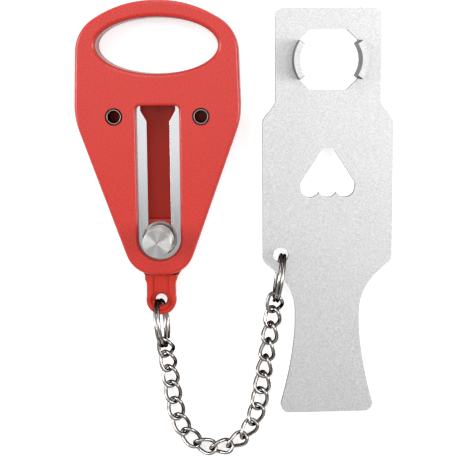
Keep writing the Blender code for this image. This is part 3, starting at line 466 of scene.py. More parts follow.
def wire(name: str, points: Sequence[Place], thickness: float, closed: bool) -> Blank:
    """A round wire bent along points.

    Args:
        name: its name.
        points: the centre line.
        thickness: the wire's diameter.
        closed: True for a closed loop.

    Returns:
        The blank.
    """
    bpy.ops.object.select_all(action="DESELECT")
    if closed:
        # A new circle has four knots and four spans, and each span is cut by itself.
        bpy.ops.curve.primitive_bezier_circle_add(radius=MM)
        cuts = len(points) // 4 - 1
    else:
        # A new curve has two knots and one span.
        bpy.ops.curve.primitive_bezier_curve_add(radius=MM)
        cuts = len(points) - 2
    obj = bpy.context.object
    bpy.ops.object.mode_set(mode="EDIT")
    bpy.ops.curve.select_all(action="SELECT")
    bpy.ops.curve.subdivide(number_cuts=cuts)
    bpy.ops.object.mode_set(mode="OBJECT")
    curve = obj.data
    for knot, point in zip(curve.splines[0].bezier_points, points, strict=True):
        knot.co = point
        knot.handle_left_type = knot.handle_right_type = "AUTO"
    curve.resolution_u = WIRE_STEPS
    curve.bevel_depth = thickness / 2
    curve.bevel_resolution = WIRE_FACETS
    curve.use_fill_caps = not closed
    bpy.ops.object.convert(target="MESH")
    return Blank(name, bpy.context.object).tidy()


# Finishes

# A finish's gloss is its roughness at the low and the high end of its grain. Its relief is the
# strength and the depth of its bumps. Its turn is the upright share of the normal at which the
# painted shade on the walls or the flanks ends, and at which the level tones begin.


def linear(code: str) -> tuple[float, float, float, float]:
    """Turns an sRGB hex colour into linear light with full alpha.

    Args:
        code: the colour, as #RRGGBB.

    Returns:
        Red, green, blue and alpha.
    """
    shares = [int(code[index:index + 2], 16) / 255 for index in (1, 3, 5)]
    red, green, blue = (s / 12.92 if s <= 0.04045 else ((s + 0.055) / 1.055) ** 2.4 for s in shares)
    return red, green, blue, 1.0


def add_node(
    tree: bpy.types.NodeTree,
    kind: str,
    settings: Optional[dict[Any, Any]] = None,
    links: Optional[dict[Any, bpy.types.NodeSocket]] = None,
) -> bpy.types.Node:
    """Adds a node with its settings and links.

    Args:
        tree: the node tree.
        kind: the node's type.
        settings: values by attribute, socket name or socket number.
        links: feeding outputs by socket name or socket number.

    Returns:
        The node.
    """
    node = tree.nodes.new(kind)
    for name, value in (settings or {}).items():
        if isinstance(name, str) and hasattr(node, name):
            setattr(node, name, value)
        else:
            node.inputs[name].default_value = value
    for name, source in (links or {}).items():
        tree.links.new(source, node.inputs[name])
    return node


class Surface:
    """A material under way: its node tree and its Principled shader."""

    def __init__(self, name: str) -> None:
        """Makes the material.

        Args:
            name: its name.
        """
        self.material = bpy.data.materials.new(name)
        self.material.use_nodes = True
        self.tree = self.material.node_tree
        self.shader = self.tree.nodes["Principled BSDF"]

    @cached_property
    def coordinates(self) -> bpy.types.Node:
        """The Texture Coordinate node that all patterns share."""
        return add_node(self.tree, "ShaderNodeTexCoord")

    @property
    def place(self) -> dict[str, bpy.types.NodeSocket]:
        """The link that lays a pattern on Object coordinates."""
        return {"Vector": self.coordinates.outputs["Object"]}

    def set(self, values: dict[str, Any]) -> None:
        """Sets the shader's own sockets, by name, to values that are the same all over."""
        for name, value in values.items():
            self.shader.inputs[name].default_value = value

    def feed(self, name: str, source: bpy.types.NodeSocket) -> None:
        """Links an output to one of the shader's sockets."""
        self.tree.links.new(source, self.shader.inputs[name])

    def level_share(self, steep: float, level: float) -> bpy.types.NodeSocket:
        """How level a surface is on its own piece, whichever way up it faces.

        Args:
            steep: upright share of the normal at which the result is 0.
            level: upright share of the normal at which the result is 1.

        Returns:
            A factor from 0 to 1.
        """
        normal = {"Vector": self.coordinates.outputs["Normal"]}
        parts = add_node(self.tree, "ShaderNodeSeparateXYZ", None, normal)
        upright = add_node(self.tree, MATHS, {"operation": "ABSOLUTE"}, {0: parts.outputs["Z"]})
        settings = {"interpolation_type": "SMOOTHSTEP", "From Min": steep, "From Max": level}
        share = add_node(self.tree, RANGE, settings, {"Value": upright.outputs["Value"]})
        return share.outputs["Result"]

    def paint(
        self,
        factor: bpy.types.NodeSocket,
        dark: str,
        light: str,
        wall: str = "",
        turn: Flat = (0.0, 1.0),
    ) -> None:
        """Mixes two tones, and lays a third over the upright walls as painted shade.

        Args:
            factor: 0 for the dark tone, 1 for the light one.
            dark: the dark tone.
            light: the light tone.
            wall: the tone of the painted shade, or nothing.
            turn: upright shares of the normal where the painted shade ends and the level begins.
        """
        tones = {"data_type": "RGBA", 6: linear(dark), 7: linear(light)}
        colour = add_node(self.tree, MIX, tones, {0: factor}).outputs[2]
        # The wall tone is painted shade on the upright faces.
        if wall:
            settings = {"data_type": "RGBA", 6: linear(wall)}
            links = {0: self.level_share(*turn), 7: colour}
            colour = add_node(self.tree, MIX, settings, links).outputs[2]
        self.feed("Base Color", colour)

    def texture(
        self,
        pattern: bpy.types.NodeSocket,
        gloss: Optional[Flat] = None,
        relief: Optional[Flat] = None,
        span: Flat = (0.3, 0.7),
    ) -> None:
        """Lets gloss and relief follow a pattern.

        Args:
            pattern: the pattern's output.
            gloss: roughness at its low and its high end, or None for an even gloss.
            relief: strength and depth of the bumps, or None for a smooth surface.
            span: the pattern's values at its low and its high end.
        """
        if gloss:
            ends = zip(("From Min", "From Max", "To Min", "To Max"), span + gloss)
            rough = add_node(self.tree, RANGE, dict(ends), {"Value": pattern})
            self.feed("Roughness", rough.outputs["Result"])
        if relief:
            settings = {"Strength": relief[0], "Distance": relief[1]}
            bumps = add_node(self.tree, "ShaderNodeBump", settings, {"Height": pattern})
            self.feed("Normal", bumps.outputs["Normal"])


@dataclass(frozen=True)
class MouldedPlastic:
    """ABS from a spark-eroded mould: a soft broad sheen, broken by a grain too fine to count."""

    name: str = "ABS, moulded, red"
    light: str = "#D0362C"
    dark: str = "#C72E26"
    # Painted shade: a deeper red on the upright faces and the outer part of each rounded rim.
    wall: str = "#86231D"
    wall_turn: Flat = (0.1, 0.8)
    gloss: Flat = (0.23, 0.32)
    ior: float = 1.53
    shine: float = 0.5
    grain: float = 0.35 * MM
    relief: Flat = (0.35, 0.012 * MM)
    drift: float = 14 * MM

    def make(self) -> bpy.types.Material:
        """Builds the material: drifting reds, painted shade on the upright walls, and a fine grain.

        Returns:
            The material.
        """
        made = Surface(self.name)
        settings = {"Scale": 1 / self.drift, "Detail": 3.0, "Roughness": 0.55}
        drift = add_node(made.tree, NOISE, settings, made.place).outputs["Fac"]
        # The real grain is about 0.08 mm; it is drawn four times as coarse, so that it shows.
        settings = {"Scale": 1 / self.grain, "Detail": 2.0, "Roughness": 0.6}
        grain = add_node(made.tree, NOISE, settings, made.place).outputs["Fac"]
        # The wall tone laid here is painted shade, not a colour of the plastic.
        made.paint(drift, self.dark, self.light, self.wall, self.wall_turn)
        made.texture(grain, self.gloss, self.relief)
        made.set({"IOR": self.ior, "Specular IOR Level": self.shine})
        return made.material


@dataclass(frozen=True)
class BlastedSteel:
    """Stainless sheet, bead-blasted: pale and matt, with a sparkle of small light and dark dots."""

    name: str = "stainless steel, bead-blasted"
    light: str = "#F6F6F6"
    dark: str = "#D4D4D5"
    # Painted shade: a darker grey on the upright walls of the edges and the claws.
    wall: str = "#716E6C"
    wall_turn: Flat = (0.45, 0.8)
    gloss: Flat = (0.45, 0.56)
    dot: float = 0.55 * MM
    dot_span: Flat = (0.36, 0.64)
    dot_share: float = 0.85
    relief: Flat = (0.4, 0.02 * MM)
    cloud: float = 9 * MM
    cloud_share: float = 0.15

    def make(self) -> bpy.types.Material:
        """Builds the material: speckles over a faint cloud, and painted shade on the upright walls.

        Returns:
            The material.
        """
        made = Surface(self.name)
        # The craters are about 0.1 mm wide; they are drawn wider than that, so that they show.
        settings = {"Scale": 1 / self.dot, "Detail": 4.0, "Roughness": 0.75}
        dots = add_node(made.tree, NOISE, settings, made.place).outputs["Fac"]
        settings = {"Scale": 1 / self.cloud, "Detail": 2.0}
        cloud = add_node(made.tree, NOISE, settings, made.place).outputs["Fac"]
        low, high = self.dot_span
        settings = {"From Min": low, "From Max": high, "To Min": 0.0, "To Max": self.dot_share}
        share = add_node(made.tree, RANGE, settings, {"Value": dots}).outputs["Result"]
        settings = {"operation": "MULTIPLY_ADD", 1: self.cloud_share}
        drift = add_node(made.tree, MATHS, settings, {0: cloud, 2: share}).outputs["Value"]
        # The wall tone laid here is painted shade on the edges and claws.
        made.paint(drift, self.dark, self.light, self.wall, self.wall_turn)
        made.texture(dots, self.gloss, self.relief)
        made.set({"Metallic": 1.0})
        return made.material


@dataclass(frozen=True)
class RolledSteel:
    """Cold-rolled stainless sheet: smooth and grey, with a faint grain along its length."""

    name: str = "stainless steel, cold-rolled"
    light: str = "#EBECED"
    dark: str = "#D3D4D6"
    # Painted shade: near-black upright edges in place of the dark gap along the slot.
    wall: str = "#2B2826"
    wall_turn: Flat = (0.4, 0.8)
    gloss: Flat = (0.13, 0.25)
    grain: float = 0.25 * MM
    grain_length: float = 9 * MM
    relief: Flat = (0.25, 0.008 * MM)

    def make(self) -> bpy.types.Material:
        """Builds the material: long streaks in colour, gloss and bump, and painted shade on the
        upright cut edges.

        Returns:
            The material.
        """
        made = Surface(self.name)
        settings = {"Scale": (1 / self.grain, 1 / self.grain_length, 1 / self.grain)}
        stretch = add_node(made.tree, "ShaderNodeMapping", settings, made.place).outputs["Vector"]
        settings = {"Scale": 1.0, "Detail": 3.0, "Roughness": 0.6}
        streaks = add_node(made.tree, NOISE, settings, {"Vector": stretch}).outputs["Fac"]
        # The wall tone laid here is painted shade on the plate's edges.
        made.paint(streaks, self.dark, self.light, self.wall, self.wall_turn)
        made.texture(streaks, self.gloss, self.relief)
        made.set({"Metallic": 1.0})
        return made.material


@dataclass(frozen=True)
class BrightNickel:
    """Steel, nickel plated and tumbled: light crests, and painted shade on the flanks."""

    name: str = "steel, nickel plate, tumbled"
    light: str = "#D9D4CF"
    dark: str = "#BCB5AF"
    # Painted shade: the dark tone of the flanks stands in for their dark reflection and shade.
    flank_shade: str = "#453E3B"
    rim: str = "#8C8580"
    flank_shade_turn: Flat = (0.6, 0.95)
    gloss: Flat = (0.18, 0.24)
    mark_span: Flat = (0.35, 0.7)
    mark: float = 4 * MM

    def make(self) -> bpy.types.Material:
        """Builds the material: smudges on the light crests, and painted shade on the flanks.

        Returns:
            The material.
        """
        made = Surface(self.name)
        settings = {"Scale": 1 / self.mark, "Detail": 1.0, "Roughness": 0.5}
        smudge = add_node(made.tree, NOISE, settings, made.place).outputs["Fac"]
        # The flanks' tone laid here is painted shade.
        made.paint(smudge, self.dark, self.light, self.flank_shade, self.flank_shade_turn)
        made.texture(smudge, self.gloss, span=self.mark_span)
        # A dark edge tint also dulls the glancing reflection along the edges of the wire, beside
        # the painted shade on the flanks.
        made.set({"Metallic": 1.0, "Specular Tint": linear(self.rim)})
        return made.material


@dataclass(frozen=True)
class TurnedSteel:
    """Stainless bar, turned on a lathe: rings round the axis draw the light into opposite fans."""

    axis: Flat
    name: str = "stainless steel, turned"
    light: str = "#F6F5F3"
    dark: str = "#C9C8C6"
    roughness: float = 0.58
    stretch: float = 0.95
    stretch_turn: float = 0.25
    pitch: float = 0.16 * MM
    relief: Flat = (0.3, 0.01 * MM)

    def make(self) -> bpy.types.Material:
        """Builds the material: tool rings about the axis and a gloss stretched across them.

        Returns:
            The material.
        """
        made = Surface(self.name)
        settings = {"Location": (-self.axis[0], -self.axis[1], 0.0)}
        centred = add_node(made.tree, "ShaderNodeMapping", settings, made.place).outputs["Vector"]
        # A Wave node at scale 1 has a ring each tau / 20 m. The real rings are finer than these.
        settings = {
            "wave_type": "RINGS",
            "rings_direction": "Z",
            "Scale": math.tau / 20 / self.pitch,
            "Distortion": 0.6,
            "Detail": 2.0,
            "Detail Scale": 2.0,
        }
        waves = add_node(made.tree, "ShaderNodeTexWave", settings, {"Vector": centred})
        made.paint(waves.outputs["Fac"], self.dark, self.light)
        made.texture(waves.outputs["Fac"], relief=self.relief)
        settings = {"direction_type": "RADIAL", "axis": "Z"}
        made.feed("Tangent", add_node(made.tree, "ShaderNodeTangent", settings).outputs["Tangent"])
        made.set({
            "Metallic": 1.0,
            "Roughness": self.roughness,
            "Anisotropic": self.stretch,
            "Anisotropic Rotation": self.stretch_turn,
        })
        return made.material


@dataclass(frozen=True)
class Nylon:
    """Moulded nylon: deep red and matt, with a faint waxy grain."""

    name: str = "nylon, moulded, red"
    light: str = "#D23A2F"
    dark: str = "#C23228"
    roughness: float = 0.5
    grain: float = 0.5 * MM
    relief: Flat = (0.3, 0.02 * MM)

    def make(self) -> bpy.types.Material:
        """Builds the material: a fine grain in colour and bump.

        Returns:
            The material.
        """
        made = Surface(self.name)
        settings = {"Scale": 1 / self.grain, "Detail": 2.0}
        grain = add_node(made.tree, NOISE, settings, made.place).outputs["Fac"]
        made.paint(grain, self.dark, self.light)
        made.texture(grain, relief=self.relief)
        made.set({"Roughness": self.roughness})
        return made.material


# Handle


@dataclass(frozen=True)
class HandleForm:
    """Sizes and outlines that the pieces of the handle share."""

    face: float = 10 * MM
    face_inside: float = 8 * MM
    seam: float = 4 * MM
    front_start: float = 4.3 * MM
    floor: float = 1.8 * MM
    width: float = 54.68 * MM
    crown_height: float = 59.3 * MM
    crown_width: float = 21.2 * MM
    crown_radius: float = 36 * MM
    shoulder_width: float = 52.6 * MM
    shoulder_height: float = 50.0 * MM
    shoulder_radius: float = 13 * MM
    hip_height: float = 21.4 * MM
    hip_radius: float = 25 * MM
    nose_depth: float = 30.8 * MM
    nose_width: float = 17.5 * MM
    nose_radius: float = 10 * MM
    wall: float = 2 * MM
    hollow_top: float = 28.5 * MM
    hollow_corner: float = 3 * MM
    grip_width: float = 39.8 * MM
    grip_height: float = 18.1 * MM
    grip_place: float = 44.75 * MM
    window_width: float = 14.1 * MM
    window_top: float = 25.3 * MM
    window_bottom: float = 25.7 * MM
    window_corner: float = 1.4 * MM
    screw_shank: float = 2.4 * MM
    screw_head: float = 4.6 * MM
    screw_boss: float = 5.2 * MM
    screw_margin: float = 4.27 * MM
    upper_spread: float = 44 * MM
    upper_screws: float = 33.5 * MM
    lower_screws: float = -8 * MM
    eyelet_spread: float = 28.5 * MM
    eyelet_height: float = 21.8 * MM
    outline_steps: int = 18
    grip_steps: int = 96
    window_steps: int = 20

    @property
    def knob_place(self) -> Flat:
        """Axis of the knob at rest."""
        return 0.0, self.window_width / 2 - self.window_bottom

    @property
    def slope(self) -> float:
        """How fast the flank widens with height."""
        return (self.width - self.nose_width) / 2 / (self.hip_height + self.nose_depth)

    def flank(self, height: float, inset: float) -> float:
        """Half the width on the straight flank at a height, less an inset square to the flank."""
        outer = self.width / 2 - self.slope * (self.hip_height - height)
        return outer - inset * math.hypot(1, self.slope)

    def outline(self) -> list[Flat]:
        """The teardrop that both covers share.

        Returns:
            The points.
        """
        return mirrored(rounded(
            [
                (0, -self.nose_depth, 0),
                (self.nose_width / 2, -self.nose_depth, self.nose_radius),
                (self.width / 2, self.hip_height, self.hip_radius),
                (self.shoulder_width / 2, self.shoulder_height, self.shoulder_radius),
                (self.crown_width / 2, self.crown_height, self.crown_radius),
                (0, self.crown_height, 0),
            ],
            self.outline_steps,
        ))

    def hollow(self) -> list[Flat]:
        """The hollow between the covers.

        Returns:
            The points.
        """
        nose = self.wall - self.nose_depth
        shoulder = self.width / 2 - self.wall
        bend = self.hip_height - (self.flank(self.hip_height, self.wall) - shoulder) / self.slope
        return mirrored(rounded(
            [
                (0, nose, 0),
                (self.flank(nose, self.wall), nose, self.nose_radius - self.wall),
                (shoulder, bend, self.hollow_corner),
                (shoulder, self.hollow_top, self.hollow_corner),
                (0, self.hollow_top, 0),
            ],
            CORNER_STEPS,
        ))

    def window(self) -> list[Flat]:
        """The window: a round lower end and two tight upper corners.

        Returns:
            The points.
        """
        radius = self.window_width / 2
        end = arc(self.knob_place, radius, -90, 0, self.window_steps)[:-1]
        sides = rounded(
            [
                (radius, self.knob_place[1], 0),
                (radius, self.window_top, self.window_corner),
                (0, self.window_top, 0),
            ],
            TIGHT_STEPS,
        )
        return mirrored(end + sides)

    def grip(self) -> list[Flat]:
        """The oval hole for the fingers.

        Returns:
            The points.
        """
        across, tall = self.grip_width / 2, self.grip_height / 2
        turn = arc((0, 0), 1, 0, 360, self.grip_steps)[:-1]
        return [(x * across, y * tall + self.grip_place) for x, y in turn]

    def screws(self) -> list[Flat]:
        """The four cover screws, the upper pair first.

        Returns:
            Their places.
        """
        lower = self.flank(self.lower_screws, 0) - self.screw_margin
        pairs = ((self.upper_spread / 2, self.upper_screws), (lower, self.lower_screws))
        return [(side * across, height) for across, height in pairs for side in (-1, 1)]

    def eyelets(self) -> list[Flat]:
        """The two eyelets, the left one first."""
        return [(side * self.eyelet_spread / 2, self.eyelet_height) for side in (-1, 1)]


def at_height(edge: bmesh.types.BMEdge, height: float) -> bool:
    """True for an edge that lies flat at a height."""
    return all(abs(vert.co.z - height) < FLAT_WITHIN for vert in edge.verts)


def is_rim(edge: bmesh.types.BMEdge, height: float) -> bool:
    """True for a flat edge at a height between a level face and a wall.

    Args:
        edge: the edge.
        height: the height.

    Returns:
        Whether it is one.
    """
    if not at_height(edge, height) or len(edge.link_faces) != 2:
        return False
    one, other = (abs(face.normal.z) > LEVEL_FACE for face in edge.link_faces)
    return one != other


@dataclass(frozen=True)
class FrontShell:
    """The front cover: a flat face with rounded rims, the window and the eyelet seats."""

    form: HandleForm
    look: bpy.types.Material
    edge_round: float = 1.2 * MM
    grip_round: float = 1.6 * MM
    window_round: float = 1.0 * MM
    eyelet_hole: float = 4.9 * MM
    eyelet_sink: float = 5.8 * MM
    eyelet_depth: float = 1.3 * MM
    screw_tip: float = 8.7 * MM
    boss_top: float = 9.0 * MM
    edge_steps: int = 6
    window_edge_steps: int = 5
    flare_steps: int = 8

    def grip_cutter(self) -> Blank:
        """The finger hole, whose rim flares towards the face.

        Returns:
            The cutter.
        """
        form = self.form
        cutter = Blank("grip_cutter")
        start = form.face - self.grip_round
        levels = [(form.front_start - OVERRUN, 0.0)]
        for x, y in arc((0, 0), 1, 0, 90, self.flare_steps):
            levels.append((start + self.grip_round * y, self.grip_round * (1 - x)))
        levels.append((form.face + OVERRUN, self.grip_round))
        with editing(cutter.obj):
            cutter.draw([(x, y, levels[0][0]) for x, y in form.grip()])
            bpy.ops.mesh.select_linked()
            bpy.ops.mesh.edge_face_add()
            for (low, inner), (high, outer) in zip(levels, levels[1:]):
                rise = (0, 0, high - low)
                bpy.ops.mesh.extrude_region_move(TRANSFORM_OT_translate={"value": rise})
                across = (form.grip_width / 2 + outer) / (form.grip_width / 2 + inner)
                tall = (form.grip_height / 2 + outer) / (form.grip_height / 2 + inner)
                centre = (0, form.grip_place, 0)
                bpy.ops.transform.resize(value=(across, tall, 1), center_override=centre)
        return cutter.tidy()

    def make(self) -> None:
        """Builds the cover."""
        form = self.form
        below, above = form.front_start - OVERRUN, form.face + OVERRUN
        inside = form.face_inside - OVERRUN
        shell = Blank("front_shell").prism(form.outline(), form.front_start, form.face)
        shell.round_edges(self.edge_round, self.edge_steps, lambda edge: is_rim(edge, form.face))
        shell.cut(Blank("hollow").prism(form.hollow(), below, form.face_inside))
        for centre in form.screws()[2:]:
            start = form.front_start + GAP
            shell.join(drum("boss", centre, form.screw_boss / 2, start, self.boss_top))
        shell.cut(self.grip_cutter())
        shell.cut(Blank("window").prism(form.window(), inside, above))
        reach = form.window_width / 2 + WELD
        top = form.window_top + WELD
        shell.round_edges(
            self.window_round,
            self.window_edge_steps,
            lambda edge: is_rim(edge, form.face)
            and all(abs(vert.co.x) < reach and vert.co.y < top for vert in edge.verts),
        )
        for centre in form.eyelets():
            shell.cut(
                drum("hole", centre, self.eyelet_hole / 2, inside, above),
                drum("sink", centre, self.eyelet_sink / 2, form.face - self.eyelet_depth, above),
            )
        for centre in form.screws():
            shell.cut(drum("pilot", centre, form.screw_shank / 2 + GAP, below, self.screw_tip))
        shell.finish(self.look, Slot.RED_PLASTIC, "housing", "front_cover")


@dataclass(frozen=True)
class RearShell:
    """The rear cover: floor, rails, bosses and the ring tab."""

    form: HandleForm
    look: bpy.types.Material
    edge_round: float = 0.9 * MM
    rail_inner: float = 7.6 * MM
    rail_width: float = 1.5 * MM
    rail_start: float = -22 * MM
    rail_end: float = 26.2 * MM
    rail_top: float = 6.0 * MM
    sink_depth: float = 1.5 * MM
    tab_root_width: float = 14.0 * MM
    tab_root: float = 30.2 * MM
    tab_neck_width: float = 9.6 * MM
    tab_neck: float = 33.8 * MM
    tab_neck_radius: float = 4 * MM
    tab_width: float = 10.1 * MM
    tab_hole_place: float = 39.8 * MM
    tab_hole: float = 3.8 * MM
    tab_top: float = 7.2 * MM
    tab_underside: float = 3.2 * MM
    tab_foot_end: float = 36 * MM
    tab_foot_reach: float = 5 * MM
    tab_lobe_start: float = 15.0
    tab_web: float = 2.6 * MM
    tab_dish: float = 7.2 * MM
    tab_round: float = 0.8 * MM
    groove_width: float = 5.4 * MM
    groove_depth: float = 0.4 * MM
    edge_steps: int = 5
    lobe_steps: int = 28
    web_steps: int = 16

    def tab_half(self) -> list[Flat]:
        """Right half of the tab's outline, from its end upwards.

        Returns:
            The points.
        """
        lobe = rounded(
            [
                (self.tab_root_width / 2, -self.tab_root, 0),
                (self.tab_neck_width / 2, -self.tab_neck, self.tab_neck_radius),
                (*self.lobe_arc(self.tab_lobe_start, 1)[0], 0),
            ],
            CORNER_STEPS,
        )[:-1]
        return (lobe + self.lobe_arc(-90, self.lobe_steps))[::-1]

    def lobe_arc(self, end: float, steps: int) -> list[Flat]:
        """The tab's round end, from where the lobe starts to an angle."""
        return arc((0, -self.tab_hole_place), self.tab_width / 2, self.tab_lobe_start, end, steps)

    def tab(self) -> tuple[Blank, Blank]:
        """The foot on the floor side and the raised lobe with rounded rims.

        Returns:
            The two forms.
        """
        form = self.form
        half = self.tab_half()
        step = -form.nose_depth - GAP
        upper = [point for point in half if point[1] < step]
        upper += [(upper[-1][0], step), (0, step)]
        lobe = Blank("lobe").prism(mirrored(upper), self.tab_underside, self.tab_top)
        inside = step - WELD
        for height in (self.tab_underside, self.tab_top):
            lobe.round_edges(
                self.tab_round,
                self.edge_steps,
                lambda edge: is_rim(edge, height)
                and any(vert.co.y < inside for vert in edge.verts),
            )
        neck = self.tab_neck_width / 2 - GAP
        shoulder = self.tab_root_width / 2 - GAP
        root = self.tab_foot_reach - form.nose_depth
        foot = [
            (0, -self.tab_foot_end),
            (neck, -self.tab_foot_end),
            (neck, -self.tab_neck),
            (shoulder, -self.tab_root),
            (shoulder, root),
            (0, root),
        ]
        return Blank("foot").prism(mirrored(foot), GAP, form.seam - GAP), lobe

    def hole_cutter(self) -> Blank:
        """The ring hole: a dish on each face and a web whose rim is fully rounded.

        Returns:
            The cutter.
        """
        middle = (self.tab_top + self.tab_underside) / 2
        reach = self.tab_web / 2
        hole, dish = self.tab_hole / 2, self.tab_dish / 2
        low, high = self.tab_underside - OVERRUN, self.tab_top + OVERRUN
        turn = arc((0, 0), 1, -90, 90, self.web_steps)
        profile = [(0, low), (dish, low), (dish, middle - reach)]
        profile += [(hole + reach * (1 - x), middle + reach * y) for x, y in turn]
        profile += [(dish, middle + reach), (dish, high), (0, high)]
        return Blank("ring_hole").lathe(profile, (0, -self.tab_hole_place), FINE_STEPS)

    def make(self) -> None:
        """Builds the cover."""
        form = self.form
        root, above = form.floor / 2, form.seam + OVERRUN
        shell = Blank("rear_shell").prism(form.outline(), 0, form.seam)
        shell.round_edges(self.edge_round, self.edge_steps, lambda edge: is_rim(edge, 0))
        shell.cut(Blank("hollow").prism(form.hollow(), form.floor, above))
        for side in (-1, 1):
            near, far = sorted((side * self.rail_inner, side * (self.rail_inner + self.rail_width)))
            rail = oblong(near, far, self.rail_start, self.rail_end)
            shell.join(Blank("rail").prism(rail, root, self.rail_top))
        for centre in form.screws()[2:]:
            shell.join(drum("boss", centre, form.screw_boss / 2, root, form.seam - GAP))
        shell.join(*self.tab())
        for centre in form.screws():
            shell.cut(
                drum("hole", centre, form.screw_shank / 2 + GAP, -OVERRUN, above),
                drum("sink", centre, form.screw_head / 2 + GAP, -OVERRUN, self.sink_depth),
            )
        half, top = self.groove_width / 2, self.tab_top
        end = self.tab_dish / 4 - self.tab_hole_place
        groove = oblong(-half, half, end, OVERRUN - form.nose_depth)
        shell.cut(
            Blank("grip").prism(form.grip(), -OVERRUN, above),
            Blank("groove").prism(groove, top - self.groove_depth, top + OVERRUN),
            self.hole_cutter(),
        )
        shell.finish(self.look, Slot.RED_PLASTIC, "housing", "rear_cover")


@dataclass(frozen=True)
class SlidePlate:
    """The steel keyhole plate behind the window."""

    form: HandleForm
    look: bpy.types.Material
    top: float = 7.7 * MM
    thickness: float = 1.4 * MM
    width: float = 36.4 * MM
    shank: float = 18.8 * MM
    upper_end: float = 27.9 * MM
    step: float = 13.5 * MM
    lower_end: float = 28.2 * MM
    corner: float = 3 * MM
    slot_width: float = 7.46 * MM
    mouth_width: float = 11.5 * MM
    mouth_top: float = 26.2 * MM
    mouth_shoulder: float = 23.7 * MM
    mouth_throat: float = 20.2 * MM
    mouth_corner: float = 1 * MM
    key_hole: float = 11.2 * MM
    eyelet_hole: float = 4.9 * MM
    burr: float = 0.15 * MM
    end_steps: int = 24
    mouth_steps: int = 6

    def make(self) -> None:
        """Builds the plate."""
        form = self.form
        shank = self.shank / 2
        end = shank - self.lower_end
        half = arc((0, end), shank, -90, 0, self.end_steps)[:-1]
        half += rounded(
            [
                (shank, end, 0),
                (shank, self.step - self.corner, self.corner / 2),
                (self.width / 2, self.step, self.corner),
                (self.width / 2, self.upper_end, self.corner),
                (0, self.upper_end, 0),
            ],
            TIGHT_STEPS,
        )
        bottom = self.top - self.thickness
        sheet = Blank("keyhole_plate").prism(mirrored(half), bottom, self.top)
        knob_x, knob_y = form.knob_place
        slot = rounded(
            [
                (knob_x, knob_y, 0),
                (self.slot_width / 2, knob_y, 0),
                (self.slot_width / 2, self.mouth_throat, 0),
                (self.mouth_width / 2, self.mouth_shoulder, 0),
                (self.mouth_width / 2, self.mouth_top, self.mouth_corner),
                (0, self.mouth_top, 0),
            ],
            self.mouth_steps,
        )
        low, high = bottom - OVERRUN, self.top + OVERRUN
        sheet.cut(
            Blank("slot").prism(mirrored(slot), low, high),
            drum("key_hole", form.knob_place, self.key_hole / 2, low, high, FINE_STEPS),
        )
        for centre in form.eyelets():
            sheet.cut(drum("bore", centre, self.eyelet_hole / 2, low, high))
        sheet.ease_edges(self.burr)
        sheet.finish(self.look, Slot.SATIN_STEEL, "housing", "slide_plate")


@dataclass(frozen=True)
class Eyelets:
    """The two tubular rivets with a rolled rim."""

    form: HandleForm
    look: bpy.types.Material
    bore: float = 3.7 * MM
    tube: float = 4.3 * MM
    rim: float = 5.2 * MM
    foot: float = 5.5 * MM
    seat: float = 9.0 * MM
    roll: float = 0.9 * MM
    foot_top: float = 6.0 * MM
    foot_thickness: float = 0.7 * MM
    roll_steps: int = 12

    def make(self) -> None:
        """Builds the left one and copies it."""
        bore, tube, rim, foot = self.bore / 2, self.tube / 2, self.rim / 2, self.foot / 2
        bottom = self.foot_top - self.foot_thickness
        middle, seat, top = (rim + bore) / 2, self.seat, self.foot_top
        turn = arc((0, 0), 1, 0, 180, self.roll_steps)
        profile = [(bore, bottom)]
        profile += [
            (middle - x * (rim - bore) / 2, seat + self.roll * (1 + y) / 2) for x, y in turn
        ]
        profile += [(rim, seat), (tube, seat), (tube, top)]
        profile += [(foot, top), (foot, (top + bottom) / 2), (tube, bottom)]
        left, right = self.form.eyelets()
        first = Blank("eyelet_rivet_left").lathe(profile, left, FINE_STEPS, closed=True)
        second = first.copy("eyelet_rivet_right", Matrix.Translation((right[0] - left[0], 0, 0)))
        first.finish(self.look, Slot.NICKEL, "housing", "eyelet_left")
        second.finish(self.look, Slot.NICKEL, "housing", "eyelet_right")


@dataclass(frozen=True)
class CoverScrews:
    """The four pan-head screws at the rear, with a cross recess."""

    form: HandleForm
    look: bpy.types.Material
    face: float = 0.0
    under: float = 1.2 * MM
    tip: float = 8.4 * MM
    recess_width: float = 0.6 * MM
    recess_reach: float = 2.6 * MM
    recess_depth: float = 0.7 * MM

    def make(self) -> None:
        """Builds one screw and copies it."""
        head, shank = self.form.screw_head / 2, self.form.screw_shank / 2
        profile = [
            (0, self.face),
            (head - GAP, self.face),
            (head, self.face + GAP),
            (head, self.under),
            (shank, self.under),
            (shank, self.tip - shank),
            (0, self.tip),
        ]
        places = self.form.screws()
        x, y = places[0]
        first = Blank("cover_screw_1_cross").lathe(profile, places[0], ROUND_STEPS)
        wide, long = self.recess_width / 2, self.recess_reach / 2
        low, high = self.face - OVERRUN, self.face + self.recess_depth
        for across, tall in ((wide, long), (long, wide)):
            bar = oblong(x - across, x + across, y - tall, y + tall)
            first.cut(Blank("recess").prism(bar, low, high))
        screws = [first]
        for number, (there_x, there_y) in enumerate(places[1:], start=2):
            move = Matrix.Translation((there_x - x, there_y - y, 0))
            screws.append(first.copy(f"cover_screw_{number}_cross", move))
        for number, screw in enumerate(screws, start=1):
            screw.finish(self.look, Slot.NICKEL, "housing", f"cover_screw_{number}")


